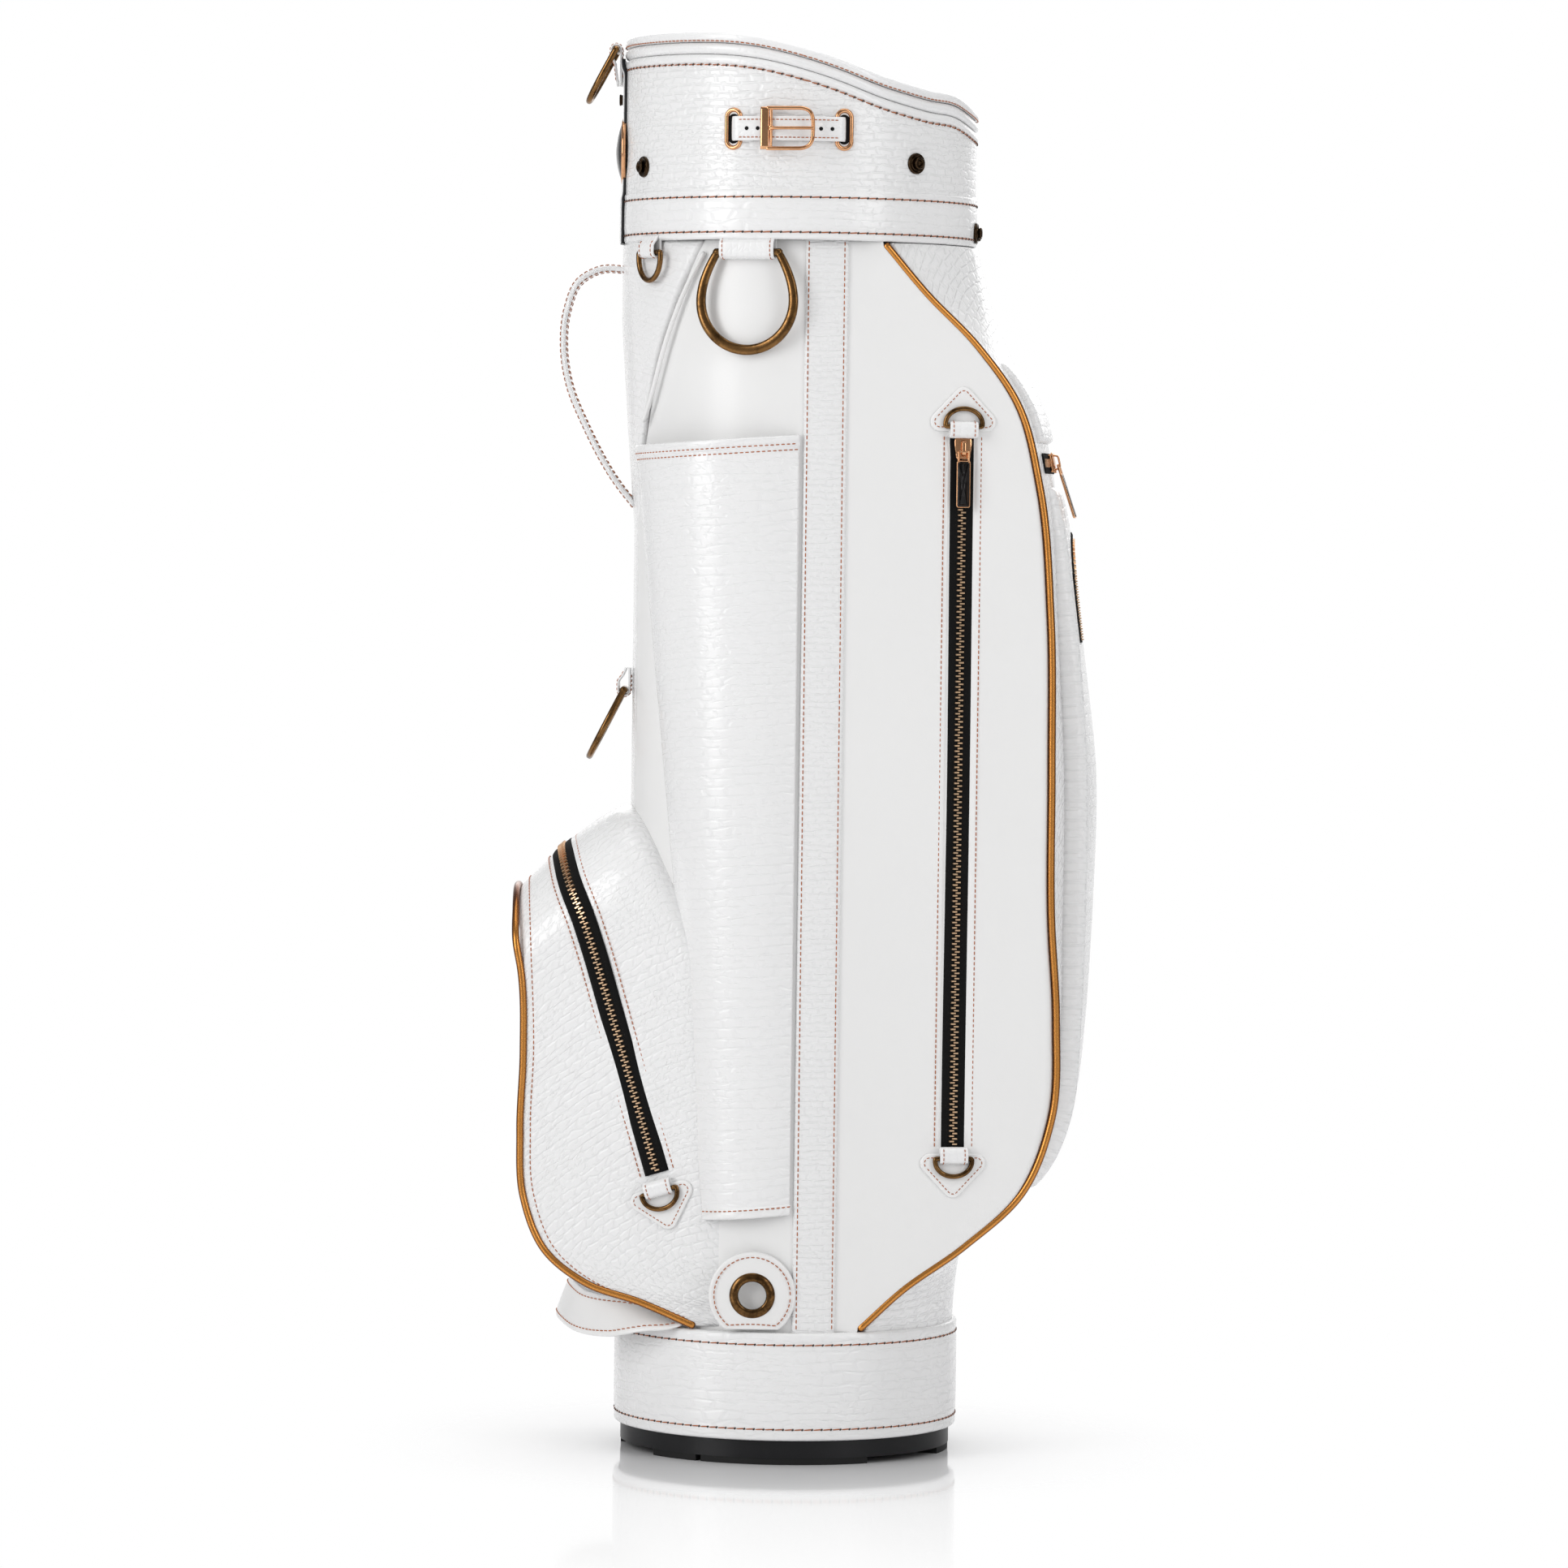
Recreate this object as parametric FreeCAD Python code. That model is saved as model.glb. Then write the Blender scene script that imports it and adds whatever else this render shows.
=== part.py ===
import FreeCAD, Part
import math
import os

from FreeCAD import Vector as V

# Golf staff bag, millimetres. The tube's axis is +Z and the origin is where that axis meets the floor.
# -X is the spine, which carries the handle, the strap rings and the ball pocket. +X is the apparel
# pocket. -Y is the near side, which carries the umbrella sleeve and the towel ring.
# Most pieces sit on the tube, so they are made at its -Y side and turned about Z into place.

# ---- driving sizes ----------------------------------------------------------------------------------
TUBE_R = 97.8            # outside of the stiff liner tube
TUBE_WALL = 2.0
SKIN_IN, SKIN_OUT = 98.1, 101.5
STRIP_OUT = 103.6
FRAME_R = 104.0          # outside of the moulded cuff ring
COVER_OUT = 109.8
BELT_OUT = 110.7
BAND_IN, BAND_OUT = 103.7, 107.4
CUP_R = 103.3
FLOOR_Z = 4.0            # underside of the cup, above its feet
CUP_TOP = 30.0
BAND_LOW, BAND_TOP = 15.0, 82.0
SKIN_LOW, SKIN_TOP = 30.3, 752.6
BELT_LOW, BELT_TOP = 753.0, 784.0
RIM_HIGH = 881.3         # the rim at the spine
RIM_SLOPE, RIM_BEND_X, RIM_SOFT = 0.31, -30.0, 15.0
RIM_WAVES = [(-1.8, 50.0, 22.0), (3.4, 95.0, 12.0)]   # height, place and reach of a dip and a crest
RIM_ROLL = 7.0           # height of each rolled edge
GAP = 0.3                # between pieces that only touch
FAR = 400.0              # larger than the bag, for cutting tools

PIPING_R = 2.3
LEATHER = 2.5
ZIP_W = 16.4             # width of tape that shows
CHAIN_W, CHAIN_T = 6.0, 1.6

os.makedirs("parts", exist_ok=True)
RESULT = {}              # pieces that later pieces are cut against


# ---- making shapes ----------------------------------------------------------------------------------
def save(name, *solids):
    """Writes one node, as one or more closed solids."""
    shape = solids[0] if len(solids) == 1 else Part.makeCompound(list(solids))
    assert shape.isValid() and shape.Solids, name
    assert all(s.Volume > 0 for s in shape.Solids), name
    shape.exportStep("parts/" + name + ".step")
    print(name, len(shape.Solids), "solids", round(sum(s.Volume for s in shape.Solids)), "mm3")


def disc(r, low, high):
    return Part.makeCylinder(r, high - low, V(0, 0, low))


def ring(r_in, r_out, low, high):
    return disc(r_out, low, high).cut(disc(r_in, low - 1, high + 1))


def sector(r_in, r_out, low, high, start, sweep):
    """Part of a ring, from start degrees on, where 0 is -Y and degrees run towards +X."""
    wedge = Part.makeCylinder(r_out, high - low, V(0, 0, low), V(0, 0, 1), sweep)
    wedge = wedge.cut(disc(r_in, low - 1, high + 1))
    return turned(wedge, start - 90)


def turned(shape, degrees):
    done = shape.copy()
    done.rotate(V(0, 0, 0), V(0, 0, 1), degrees)
    return done


def moved(shape, x=0, y=0, z=0):
    done = shape.copy()
    done.translate(V(x, y, z))
    return done


def mirrored(shape):
    """The same piece on the far side."""
    return shape.mirror(V(0, 0, 0), V(0, 1, 0))


def box(x0, x1, y0, y1, z0, z1):
    return Part.makeBox(x1 - x0, y1 - y0, z1 - z0, V(x0, y0, z0))


def rod(start, direction, length, r):
    return Part.makeCylinder(r, length, V(*start), V(*direction))


def path_edges(points):
    """Straight runs joined by tangent arcs, each as large as its two runs allow."""
    points = [V(*p) for p in points]
    edges, last = [], points[0]
    for before, corner, after in zip(points, points[1:], points[2:]):
        back, ahead = (before - corner), (after - corner)
        reach = 0.45 * min(back.Length, ahead.Length)
        back.normalize()
        ahead.normalize()
        half_turn = (math.pi - back.getAngle(ahead)) / 2
        start, end = corner + back * reach, corner + ahead * reach
        radius = reach / math.tan(half_turn)
        to_centre = (back + ahead).normalize()
        middle = corner + to_centre * (radius / math.cos(half_turn) - radius)
        edges.append(Part.LineSegment(last, start).toShape())
        edges.append(Part.Arc(start, middle, end).toShape())
        last = end
    edges.append(Part.LineSegment(last, points[-1]).toShape())
    return edges


def swept(points, profile_of):
    """A profile carried along a path. profile_of gets the path's start and direction."""
    path = Part.Wire(path_edges(points))
    start = V(*points[0])
    ahead = (V(*points[1]) - start).normalize()
    solid = path.makePipeShell([profile_of(start, ahead)], True, False)
    return solid.Solids[0] if solid.Solids else Part.Solid(solid)


def round_wire(r):
    return lambda at, ahead: Part.Wire(Part.Circle(at, ahead, r).toShape())


def prism(outline, y0, y1):
    """A closed outline of (x, z) edges or points, carried along Y."""
    if isinstance(outline[0], tuple):
        corners = [V(x, y0, z) for x, z in outline]
        wire = Part.makePolygon(corners + corners[:1])
    else:
        wire = Part.Wire(outline)
        wire.translate(V(0, y0, 0))
    return Part.Face(wire).extrude(V(0, y1 - y0, 0))


def arc_band(x_chord, half_width, x_apex, thickness, z, trim=0.0):
    """A flat arc-shaped band at height z: its outside runs through both chord ends and the apex."""
    sagitta = x_apex - x_chord
    r = (half_width**2 + sagitta**2) / (2 * sagitta)
    centre = x_apex - r
    half = math.asin(min(1.0, half_width / r)) if centre < x_chord else math.pi / 2
    half -= trim / r

    def at(radius, angle):
        return V(centre + radius * math.cos(angle), radius * math.sin(angle), z)

    outer = Part.Arc(at(r, -half), at(r, 0), at(r, half)).toShape()
    inner = Part.Arc(at(r - thickness, half), at(r - thickness, 0), at(r - thickness, -half)).toShape()
    sides = [
        Part.LineSegment(at(r, half), at(r - thickness, half)).toShape(),
        Part.LineSegment(at(r - thickness, -half), at(r, -half)).toShape(),
    ]
    return Part.Wire([outer, sides[0], inner, sides[1]])


def between(table, z):
    """A value read from (z, value) pairs in rising z, by straight lines."""
    for (z0, v0), (z1, v1) in zip(table, table[1:]):
        if z <= z1:
            return v0 + (v1 - v0) * (z - z0) / (z1 - z0)
    return table[-1][1]


# ---- the rim's wave ---------------------------------------------------------------------------------
def rim_z(x):
    """The rim is level at the spine, slopes down towards the apparel pocket, and flattens before its end."""
    slope = RIM_SLOPE * RIM_SOFT * math.log(1 + math.exp((x - RIM_BEND_X) / RIM_SOFT))
    return RIM_HIGH - slope + sum(h * math.exp(-(((x - at) / reach) ** 2)) for h, at, reach in RIM_WAVES)


def below_rim(drop):
    """All the space lower than the rim by drop."""
    stations = [-130, -90, -60, -40, -20, 0, 18, 34, 50, 64, 76, 86, 95, 104, 114, 130]
    wave = Part.BSplineCurve()
    wave.interpolate([V(x, -FAR / 2, rim_z(x) - drop) for x in stations])
    ends = [V(130, -FAR / 2, rim_z(130) - drop), V(130, -FAR / 2, 500)]
    ends += [V(-130, -FAR / 2, 500), V(-130, -FAR / 2, rim_z(-130) - drop)]
    lines = [Part.LineSegment(a, b).toShape() for a, b in zip(ends, ends[1:])]
    return Part.Face(Part.Wire([wave.toShape()] + lines)).extrude(V(0, FAR, 0))


# ---- base -------------------------------------------------------------------------------------------
def base():
    hub_r, floor_t, wall = 38.0, 4.0, 3.0
    cup = disc(CUP_R, FLOOR_Z, CUP_TOP).cut(disc(CUP_R - wall, FLOOR_Z + floor_t, CUP_TOP + 1))
    cup = cup.fuse(disc(hub_r, 0, FLOOR_Z)).removeSplitter()
    for k in range(6):  # drain holes
        hole = rod((62, 0, 0), (0, 0, 1), 20, 3.0)
        cup = cup.cut(turned(hole, 30 + 60 * k))
    save("base_cup", cup)

    feet = []
    for k in range(3):
        feet.append(sector(80, CUP_R - 0.4, 0, FLOOR_Z, -30 + 120 * k, 60))
        feet.append(sector(80, CUP_R - 0.4, 0, FLOOR_Z, -52 + 120 * k, 20))
    save("rubber_feet", *feet)

    band = ring(BAND_IN, BAND_OUT, BAND_LOW, BAND_TOP)
    save("base_band", band)


# ---- tube, lining and dividers ----------------------------------------------------------------------
DIVIDER_LOW, DIVIDER_HIGH = 786.0, 812.0
BAR_W = 10.0
BAR_X = 31.0             # the two bars that run along Y
LINING_IN = 95.3


def inside():
    cup_floor = FLOOR_Z + 4.0
    save("liner_tube", ring(TUBE_R - TUBE_WALL, TUBE_R, cup_floor, 770))
    rods = [turned(rod((0, -91.0, cup_floor), (0, 0, 1), 775 - cup_floor, 3.5), a) for a in (62, 180, 298)]
    save("stay_rods", *rods)

    rim = ring(90.5, LINING_IN - GAP, DIVIDER_LOW, DIVIDER_HIGH)
    reach = disc(92, DIVIDER_LOW, DIVIDER_HIGH)
    bars = [box(-100, 100, -BAR_W / 2, BAR_W / 2, DIVIDER_LOW, DIVIDER_HIGH)]
    bars += [box(s * BAR_X - BAR_W / 2, s * BAR_X + BAR_W / 2, -100, 100, DIVIDER_LOW, DIVIDER_HIGH) for s in (-1, 1)]
    top = rim
    for bar in bars:
        top = top.fuse(bar.common(reach))
    save("divider_top", top.removeSplitter())

    reach = disc(LINING_IN - GAP, cup_floor, DIVIDER_LOW - GAP)
    sheets = box(-100, 100, -0.5, 0.5, cup_floor, DIVIDER_LOW - GAP).common(reach)
    for s in (-1, 1):
        sheets = sheets.fuse(box(s * BAR_X - 0.5, s * BAR_X + 0.5, -100, 100, cup_floor, DIVIDER_LOW - GAP).common(reach))
    for r in rods:
        sheets = sheets.cut(rod((r.CenterOfMass.x, r.CenterOfMass.y, 0), (0, 0, 1), 900, 4.0))
    save("divider_sheets", sheets.removeSplitter())


# ---- cuff -------------------------------------------------------------------------------------------
def cuff():
    tube_top = 770
    wall = ring(TUBE_R + GAP, FRAME_R, BELT_LOW, 900).common(below_rim(RIM_ROLL + GAP))
    save("cuff_frame", wall)
    lining = ring(LINING_IN, TUBE_R, tube_top + GAP, 900).common(below_rim(RIM_ROLL + GAP))
    save("cuff_lining", lining)
    save("cuff_belt", ring(FRAME_R + GAP, BELT_OUT, BELT_LOW, BELT_TOP))

    cover = ring(FRAME_R + GAP, COVER_OUT, BELT_TOP + GAP, 900).common(below_rim(3 * RIM_ROLL + GAP))
    for at in SLOT_TURNS:
        cover = cover.cut(turned(oval(SLOT_Z, SLOT_HOLE_W, SLOT_HOLE_H, -120, -100), at))
    save("cuff_cover", cover)

    roll = ring(LINING_IN - 0.4, BELT_OUT + 0.2, 700, 900)
    top = roll.common(below_rim(0)).cut(below_rim(RIM_ROLL))
    welts = ring(FRAME_R + GAP, BELT_OUT, 700, 900)
    upper = welts.common(below_rim(RIM_ROLL + 0.2)).cut(below_rim(2 * RIM_ROLL))
    lower = welts.common(below_rim(2 * RIM_ROLL + 0.2)).cut(below_rim(3 * RIM_ROLL))
    save("rim_binding", top, upper, lower)


# ---- buckle strap and studs on the cuff -------------------------------------------------------------
SLOT_Z = 820.5
SLOT_TURNS = (-22.2, 13.8)
SLOT_HOLE_W, SLOT_HOLE_H = 6.4, 20.0
SLOT_W, SLOT_H = 11.6, 26.5
STRAP_H, STRAP_T = 15.0, 1.8


def oval(z, width, height, y0, y1):
    """An upright slot with round ends, on the -Y side."""
    r, half = width / 2, height / 2 - width / 2
    body = box(-r, r, y0, y1, z - half, z + half)
    for s in (-1, 1):
        body = body.fuse(rod((0, y0, z + s * half), (0, 1, 0), y1 - y0, r))
    return body.removeSplitter()


def buckle():
    eyelets = []
    for at in SLOT_TURNS:
        face = COVER_OUT + 0.1
        flange = oval(SLOT_Z, SLOT_W, SLOT_H, -face - 1.8, -face + 0.6).cut(disc(COVER_OUT + 0.05, 700, 900))
        barrel = oval(SLOT_Z, SLOT_HOLE_W - 0.2, SLOT_HOLE_H - 0.2, -face, -FRAME_R - 0.6)
        bore = oval(SLOT_Z, SLOT_HOLE_W - 1.4, SLOT_HOLE_H - 1.4, -125, -95)
        eyelets.append(turned(flange.fuse(barrel).cut(bore).removeSplitter(), at))
    save("slot_eyelets", *eyelets)

    middle = sum(SLOT_TURNS) / 2
    span = (SLOT_TURNS[1] - SLOT_TURNS[0]) / 2
    r = COVER_OUT + 3.0
    half_h = STRAP_H / 2
    strap = sector(r, r + STRAP_T, SLOT_Z - half_h, SLOT_Z + half_h, SLOT_TURNS[0], 2 * span)
    for at in SLOT_TURNS:  # the ends turn inwards through the eyelets
        strap = strap.fuse(turned(box(-0.9, 0.9, -r - STRAP_T, -FRAME_R - 1.2, SLOT_Z - half_h, SLOT_Z + half_h), at))
    strap = strap.cut(turned(rod((0, -130, SLOT_Z), (0, 1, 0), 40, 1.2), BUCKLE_TURN + 7.0))
    save("buckle_strap", strap.removeSplitter())

    out = r + STRAP_T + 0.3
    pin_r, frame_h, frame_w, wire, bar_w = 1.0, 25.0, 34.5, 2.3, 5.2
    heel = rod((pin_r, -out - pin_r, SLOT_Z - frame_h / 2), (0, 0, 1), frame_h, pin_r)
    heel = heel.fuse(box(pin_r, bar_w, -out - 2 * pin_r, -out, SLOT_Z - frame_h / 2, SLOT_Z + frame_h / 2))
    outer = d_outline(bar_w - 1.0, frame_w, frame_h / 2)
    inner = d_outline(bar_w, frame_w - wire, frame_h / 2 - wire)
    loop = moved(prism(outer, -out - 2 * pin_r, -out), z=SLOT_Z)
    loop = loop.cut(moved(prism(inner, -out - 5, -out + 3), z=SLOT_Z))
    axle_x = bar_w + 1.9
    axle_y = -out - 1.3
    axle = rod((axle_x, axle_y, SLOT_Z - frame_h / 2 + 1), (0, 0, 1), frame_h - 2, 0.9)
    save("buckle_frame", turned(heel.fuse(loop).fuse(axle).removeSplitter(), BUCKLE_TURN - 8.5))

    prong = rod((axle_x, axle_y, SLOT_Z - 1.3), (0, 0, 1), 2.6, 1.5)
    prong = prong.fuse(box(axle_x, frame_w - wire / 2, -out - 3.9, -out - 2.3, SLOT_Z - 1.3, SLOT_Z + 1.3))
    prong = prong.fuse(box(axle_x, axle_x + 4, -out - 3.4, -out - 1.2, SLOT_Z - 1.3, SLOT_Z + 1.3))
    prong = prong.cut(rod((axle_x, axle_y, 0), (0, 0, 1), 900, 0.95))
    save("buckle_prong", turned(prong.removeSplitter(), BUCKLE_TURN - 8.5))

    studs = []
    for at, z, on in STUDS:
        flange = rod((0, -on, z), (0, -1, 0), 1.6, 6.5)
        post = rod((0, -on - 1.6, z), (0, -1, 0), 2.6, 3.6)
        dimple = rod((0, -on - 3.2, z), (0, -1, 0), 2.0, 1.5)
        studs.append(turned(flange.fuse(post).cut(dimple).removeSplitter(), at))
    save("snap_studs", *studs)

    dome_r, base_x = 21.7, COVER_OUT + 0.8
    plate = rod((0, -base_x, BADGE_Z), (0, -1, 0), 1.4, dome_r)
    cap_r = (dome_r**2 + 4.0**2) / (2 * 4.0)
    cap = Part.makeSphere(cap_r, V(0, -base_x - 5.4 + cap_r, BADGE_Z))
    cap = cap.common(rod((0, -base_x - 1.4, BADGE_Z), (0, -1, 0), 10, dome_r))
    pad = rod((0, -base_x + 2.6, BADGE_Z), (0, -1, 0), 2.6, dome_r - 2)
    pad = pad.cut(disc(COVER_OUT + 0.1, 700, 900))
    save("badge", turned(plate.fuse(cap).fuse(pad).removeSplitter(), -90))


BUCKLE_TURN = -4.2
BADGE_Z = 811.0
STUDS = [(-62.0, 799.0, COVER_OUT), (40.0, 801.5, COVER_OUT), (81.0, 762.0, BELT_OUT)]
STUDS += [(180 - at, z, on) for at, z, on in STUDS]
STUDS += [(-90.0, 843.0, COVER_OUT)]


def d_outline(x0, x1, half_h):
    """A D on its side: straight at x0 and round at x1. Points are (x, z) edges at y 0."""
    flat = x1 - half_h
    a, b = V(x0, 0, -half_h), V(flat, 0, -half_h)
    c, d = V(flat, 0, half_h), V(x0, 0, half_h)
    return [
        Part.LineSegment(a, b).toShape(),
        Part.Arc(b, V(x1, 0, 0), c).toShape(),
        Part.LineSegment(c, d).toShape(),
        Part.LineSegment(d, a).toShape(),
    ]


# ---- leather on the tube ----------------------------------------------------------------------------
PAD_LOW, PAD_FULL = 575.0, 703.0   # the spine panel is padded out above PAD_LOW
PAD_SHIFT, PAD_R = 16.0, 94.2
SPINE_EDGE = [(-53.0, 760), (-62.0, 746), (-74.5, 722), (-86.0, 690), (-93.0, 660), (-97.0, 628), (-98.6, 590)]
STRIP_START, STRIP_SWEEP = 2.0, 15.4


def spine_circle(z):
    """Centre x and radius of the spine panel's outside at height z."""
    t = min(1.0, max(0.0, (z - PAD_LOW) / (PAD_FULL - PAD_LOW)))
    return -PAD_SHIFT * t, SKIN_OUT - 0.05 - (SKIN_OUT - 0.05 - PAD_R) * t


def spine_y(x, z, lift=0.0):
    centre, r = spine_circle(z)
    return -math.sqrt((r + lift) ** 2 - (x - centre) ** 2)


def spine_block(grow=0.0):
    """The tube with its leather and the padded spine, as one solid for cutting against."""
    rounds = []
    for z in (PAD_LOW, PAD_FULL, SKIN_TOP):
        centre, r = spine_circle(z)
        rounds.append(Part.Wire(Part.Circle(V(centre, 0, z), V(0, 0, 1), r + grow).toShape()))
    pad = Part.makeLoft(rounds, True, True)
    return disc(SKIN_OUT + grow, SKIN_LOW, SKIN_TOP).fuse(pad)


def skin():
    whole = ring(SKIN_IN, SKIN_OUT, SKIN_LOW, SKIN_TOP)
    padded = spine_block().cut(disc(SKIN_IN, 0, 800))
    edge = SPINE_EDGE + [(-98.6, SKIN_LOW - 5), (-130, SKIN_LOW - 5), (-130, 760)]
    behind = prism(edge, -FAR / 2, FAR / 2)
    save("spine_panel", padded.common(behind))
    shift = prism([(x + 0.4, z) for x, z in edge[:-2]] + edge[-2:], -FAR / 2, FAR / 2)
    near = whole.cut(shift).common(sector(90, 110, 0, 800, -90, 90 + STRIP_START - 0.3))
    save("valley_panels", near, mirrored(near))

    strip = sector(SKIN_IN, STRIP_OUT, SKIN_LOW, SKIN_TOP, STRIP_START, STRIP_SWEEP)
    save("side_strips", strip, mirrored(strip))

    cord = []
    for x, z in SPINE_EDGE[1:5] + [(-96.4, 642)]:
        cord.append((x + 3.0, spine_y(x + 3.0, z, 1.6), z - 1))
    welt = swept(cord, round_wire(1.5)).cut(spine_block(0.02))
    save("spine_welts", welt.Solids[0], mirrored(welt.Solids[0]))


# ---- rings ------------------------------------------------------------------------------------------
def d_ring(half_width, drop, wire_r):
    """A D-ring of round wire, hanging from a bar at the origin that lies along X."""
    w, r = half_width - wire_r, wire_r
    corner = 0.75 * w
    points = [(0, 0, 0), (-w, 0, 0), (-w * 1.02, 0, -drop * 0.45), (-corner * 0.72, 0, -drop + wire_r)]
    points += [(corner * 0.72, 0, -drop + wire_r), (w * 1.02, 0, -drop * 0.45), (w, 0, 0), (0.01, 0, 0)]
    bow = swept(points[1:-1], round_wire(r))
    bar = rod((-w, 0, 0), (1, 0, 0), 2 * w, r)
    return bow.fuse(bar).fuse(Part.makeSphere(r, V(-w, 0, 0))).fuse(Part.makeSphere(r, V(w, 0, 0))).removeSplitter()


def flat_ring(half_width, drop, bar_half, bar_r, thick):
    """A cast ring: round wire where it hangs, and a broad flat bow. Its bar lies along X at the origin."""
    outer = ring_outline(half_width, drop, bar_half + bar_r, 0)
    inner = ring_outline(half_width - 5.2, drop - 9.0, bar_half - 2.6, -4.0)
    bow = prism(outer, -thick / 2, thick / 2).cut(prism(inner, -thick, thick))
    bow = bow.cut(box(-bar_half + 1.2, bar_half - 1.2, -9, 9, -4.8, 9))
    bar = rod((-bar_half - 1, 0, 0), (1, 0, 0), 2 * bar_half + 2, bar_r)
    return bow.fuse(bar).removeSplitter()


def ring_outline(half_width, drop, top_half, top):
    """Horseshoe outline: narrow at the top, widest at the middle, round at the foot."""
    middle = -drop + half_width
    foot = V(0, 0, -drop)
    left, right = V(-half_width, 0, middle), V(half_width, 0, middle)
    shoulder = V(-(half_width + top_half) / 2 - 2.0, 0, (middle + top) / 2 + 3.0)
    other = V(-shoulder.x, 0, shoulder.z)
    start, end = V(-top_half, 0, top), V(top_half, 0, top)
    return [
        Part.Arc(start, shoulder, left).toShape(),
        Part.Arc(left, foot, right).toShape(),
        Part.Arc(right, other, end).toShape(),
        Part.LineSegment(end, start).toShape(),
    ]


def loop(half_width, bar_r, up, back, thick=1.6):
    """Leather folded round a bar that lies along X at the origin: the fold below, the strap above."""
    r_in, r_out = bar_r + GAP, bar_r + GAP + thick
    fold = rod((-half_width, 0, 0), (1, 0, 0), 2 * half_width, r_out)
    strap = box(-half_width, half_width, r_out - 2 * thick, back, 0, up)
    hollow = rod((-half_width - 1, 0, 0), (1, 0, 0), 2 * half_width + 2, r_in)
    return fold.fuse(strap).cut(hollow).removeSplitter()


def hang(shape, turn, r, z, tilt=0.0):
    """Moves a piece made at the origin onto the tube, tilted out from the vertical by tilt degrees."""
    done = shape.copy()
    done.rotate(V(0, 0, 0), V(1, 0, 0), -tilt)
    done.translate(V(0, -r, z))
    return turned(done, turn)


TOWEL = (-17.5, 106.0, 745.2)      # turn about Z, radius and height of each ring's bar
SMALL = (-56.4, 111.4, 745.8)
TOP_RING = (-90.0, 116.2, 874.0)
LOW_RING = (-90.0, 106.6, 474.0)


def rings():
    save("towel_ring", hang(flat_ring(33.0, 63.0, 19.5, 2.4, 4.4), *TOWEL))
    strap = hang(loop(17.6, 2.4, SKIN_TOP - TOWEL[2], 4.4), *TOWEL)
    loops = [strap.cut(disc(SKIN_OUT + 0.1, 600, 800))]

    save("small_ring", hang(d_ring(14.0, 19.0, 1.7), *SMALL))
    strap = hang(loop(8.6, 1.7, SKIN_TOP - SMALL[2], 4.4), *SMALL)
    loops.append(strap.cut(spine_block(0.1)))

    save("strap_ring_top", hang(d_ring(19.0, 38.0, 2.0), *TOP_RING, tilt=28))
    save("strap_ring_low", hang(flat_ring(26.0, 49.0, 14.5, 2.4, 4.4), *LOW_RING, tilt=27))
    high = loop(11.0, 2.0, 22.0, 8.0).mirror(V(0, 0, 0), V(0, 0, 1))
    high = hang(high, *TOP_RING).cut(disc(BELT_OUT + 0.4, 600, 900))
    low = hang(loop(12.4, 2.4, 14.0, 8.0), *LOW_RING).cut(disc(SKIN_OUT + 0.1, 400, 520))
    save("ring_loops", *[solid for made in loops + [high, low] for solid in made.Solids])


# ---- handles ----------------------------------------------------------------------------------------
def flat_strap(width, thick, across):
    """A rectangular profile: thick in the bend's plane, and width along across."""
    def profile(at, ahead):
        side = ahead.cross(across).normalize()
        corners = [at + across * (a * width / 2) + side * (b * thick / 2) for a, b in ((-1, -1), (1, -1), (1, 1), (-1, 1))]
        return Part.makePolygon(corners + corners[:1])
    return profile


def handles():
    spine = -SKIN_OUT - 0.1
    grip = [(spine - 6, 0, 737), (-124, 0, 737), (-138, 0, 729), (-145, 0, 712), (-147, 0, 688)]
    grip += [(-143, 0, 664), (-133, 0, 640), (-112, 0, 603), (spine, 0, 590)]
    grip_strap = swept(grip, flat_strap(28, 4.0, V(0, 1, 0)))
    save("carry_handle", grip_strap.cut(spine_block(0.1)))

    half = [((-66, -74, 85.4), (-0.67, -0.74, -0.02)), ((-81, -76, 86.0), (-0.62, -0.68, -0.4))]
    half += [((-95, -73, 86.4), (-0.36, -0.34, -0.87)), ((-111, -64, 86), (-0.22, -0.15, -0.96))]
    half += [((-127, -46, 87), (-0.26, -0.06, -0.96)), ((-136.5, -22, 90.5), (-0.33, 0, -0.94))]
    middle = [((-139.5, 0, 92), (-0.35, 0, -0.94))]
    other = [((x, -y, z), (u, -v, w)) for (x, y, z), (u, v, w) in reversed(half)]
    stations = half + middle + other
    sections = []
    for k, (at, edge) in enumerate(stations):
        at, edge = V(*at), V(*edge).normalize()
        ahead = V(*stations[min(k + 1, len(stations) - 1)][0]) - V(*stations[max(k - 1, 0)][0])
        face = ahead.cross(edge).normalize()
        corners = [at + edge * (a * 13.0) + face * (b * 1.8) for a, b in ((-1, -1), (1, -1), (1, 1), (-1, 1))]
        sections.append(Part.makePolygon(corners + corners[:1]))
    lift = Part.makeLoft(sections, True, False)
    lift = lift.cut(disc(BAND_OUT + 0.15, 0, BAND_TOP + 0.15)).cut(disc(SKIN_OUT + 0.15, 0, 200))
    block = RESULT["ball"]
    lift = lift.cut(block).cut(moved(block, z=-0.3))
    save("bottom_handle", max(lift.Solids, key=lambda part: part.Volume))


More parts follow.
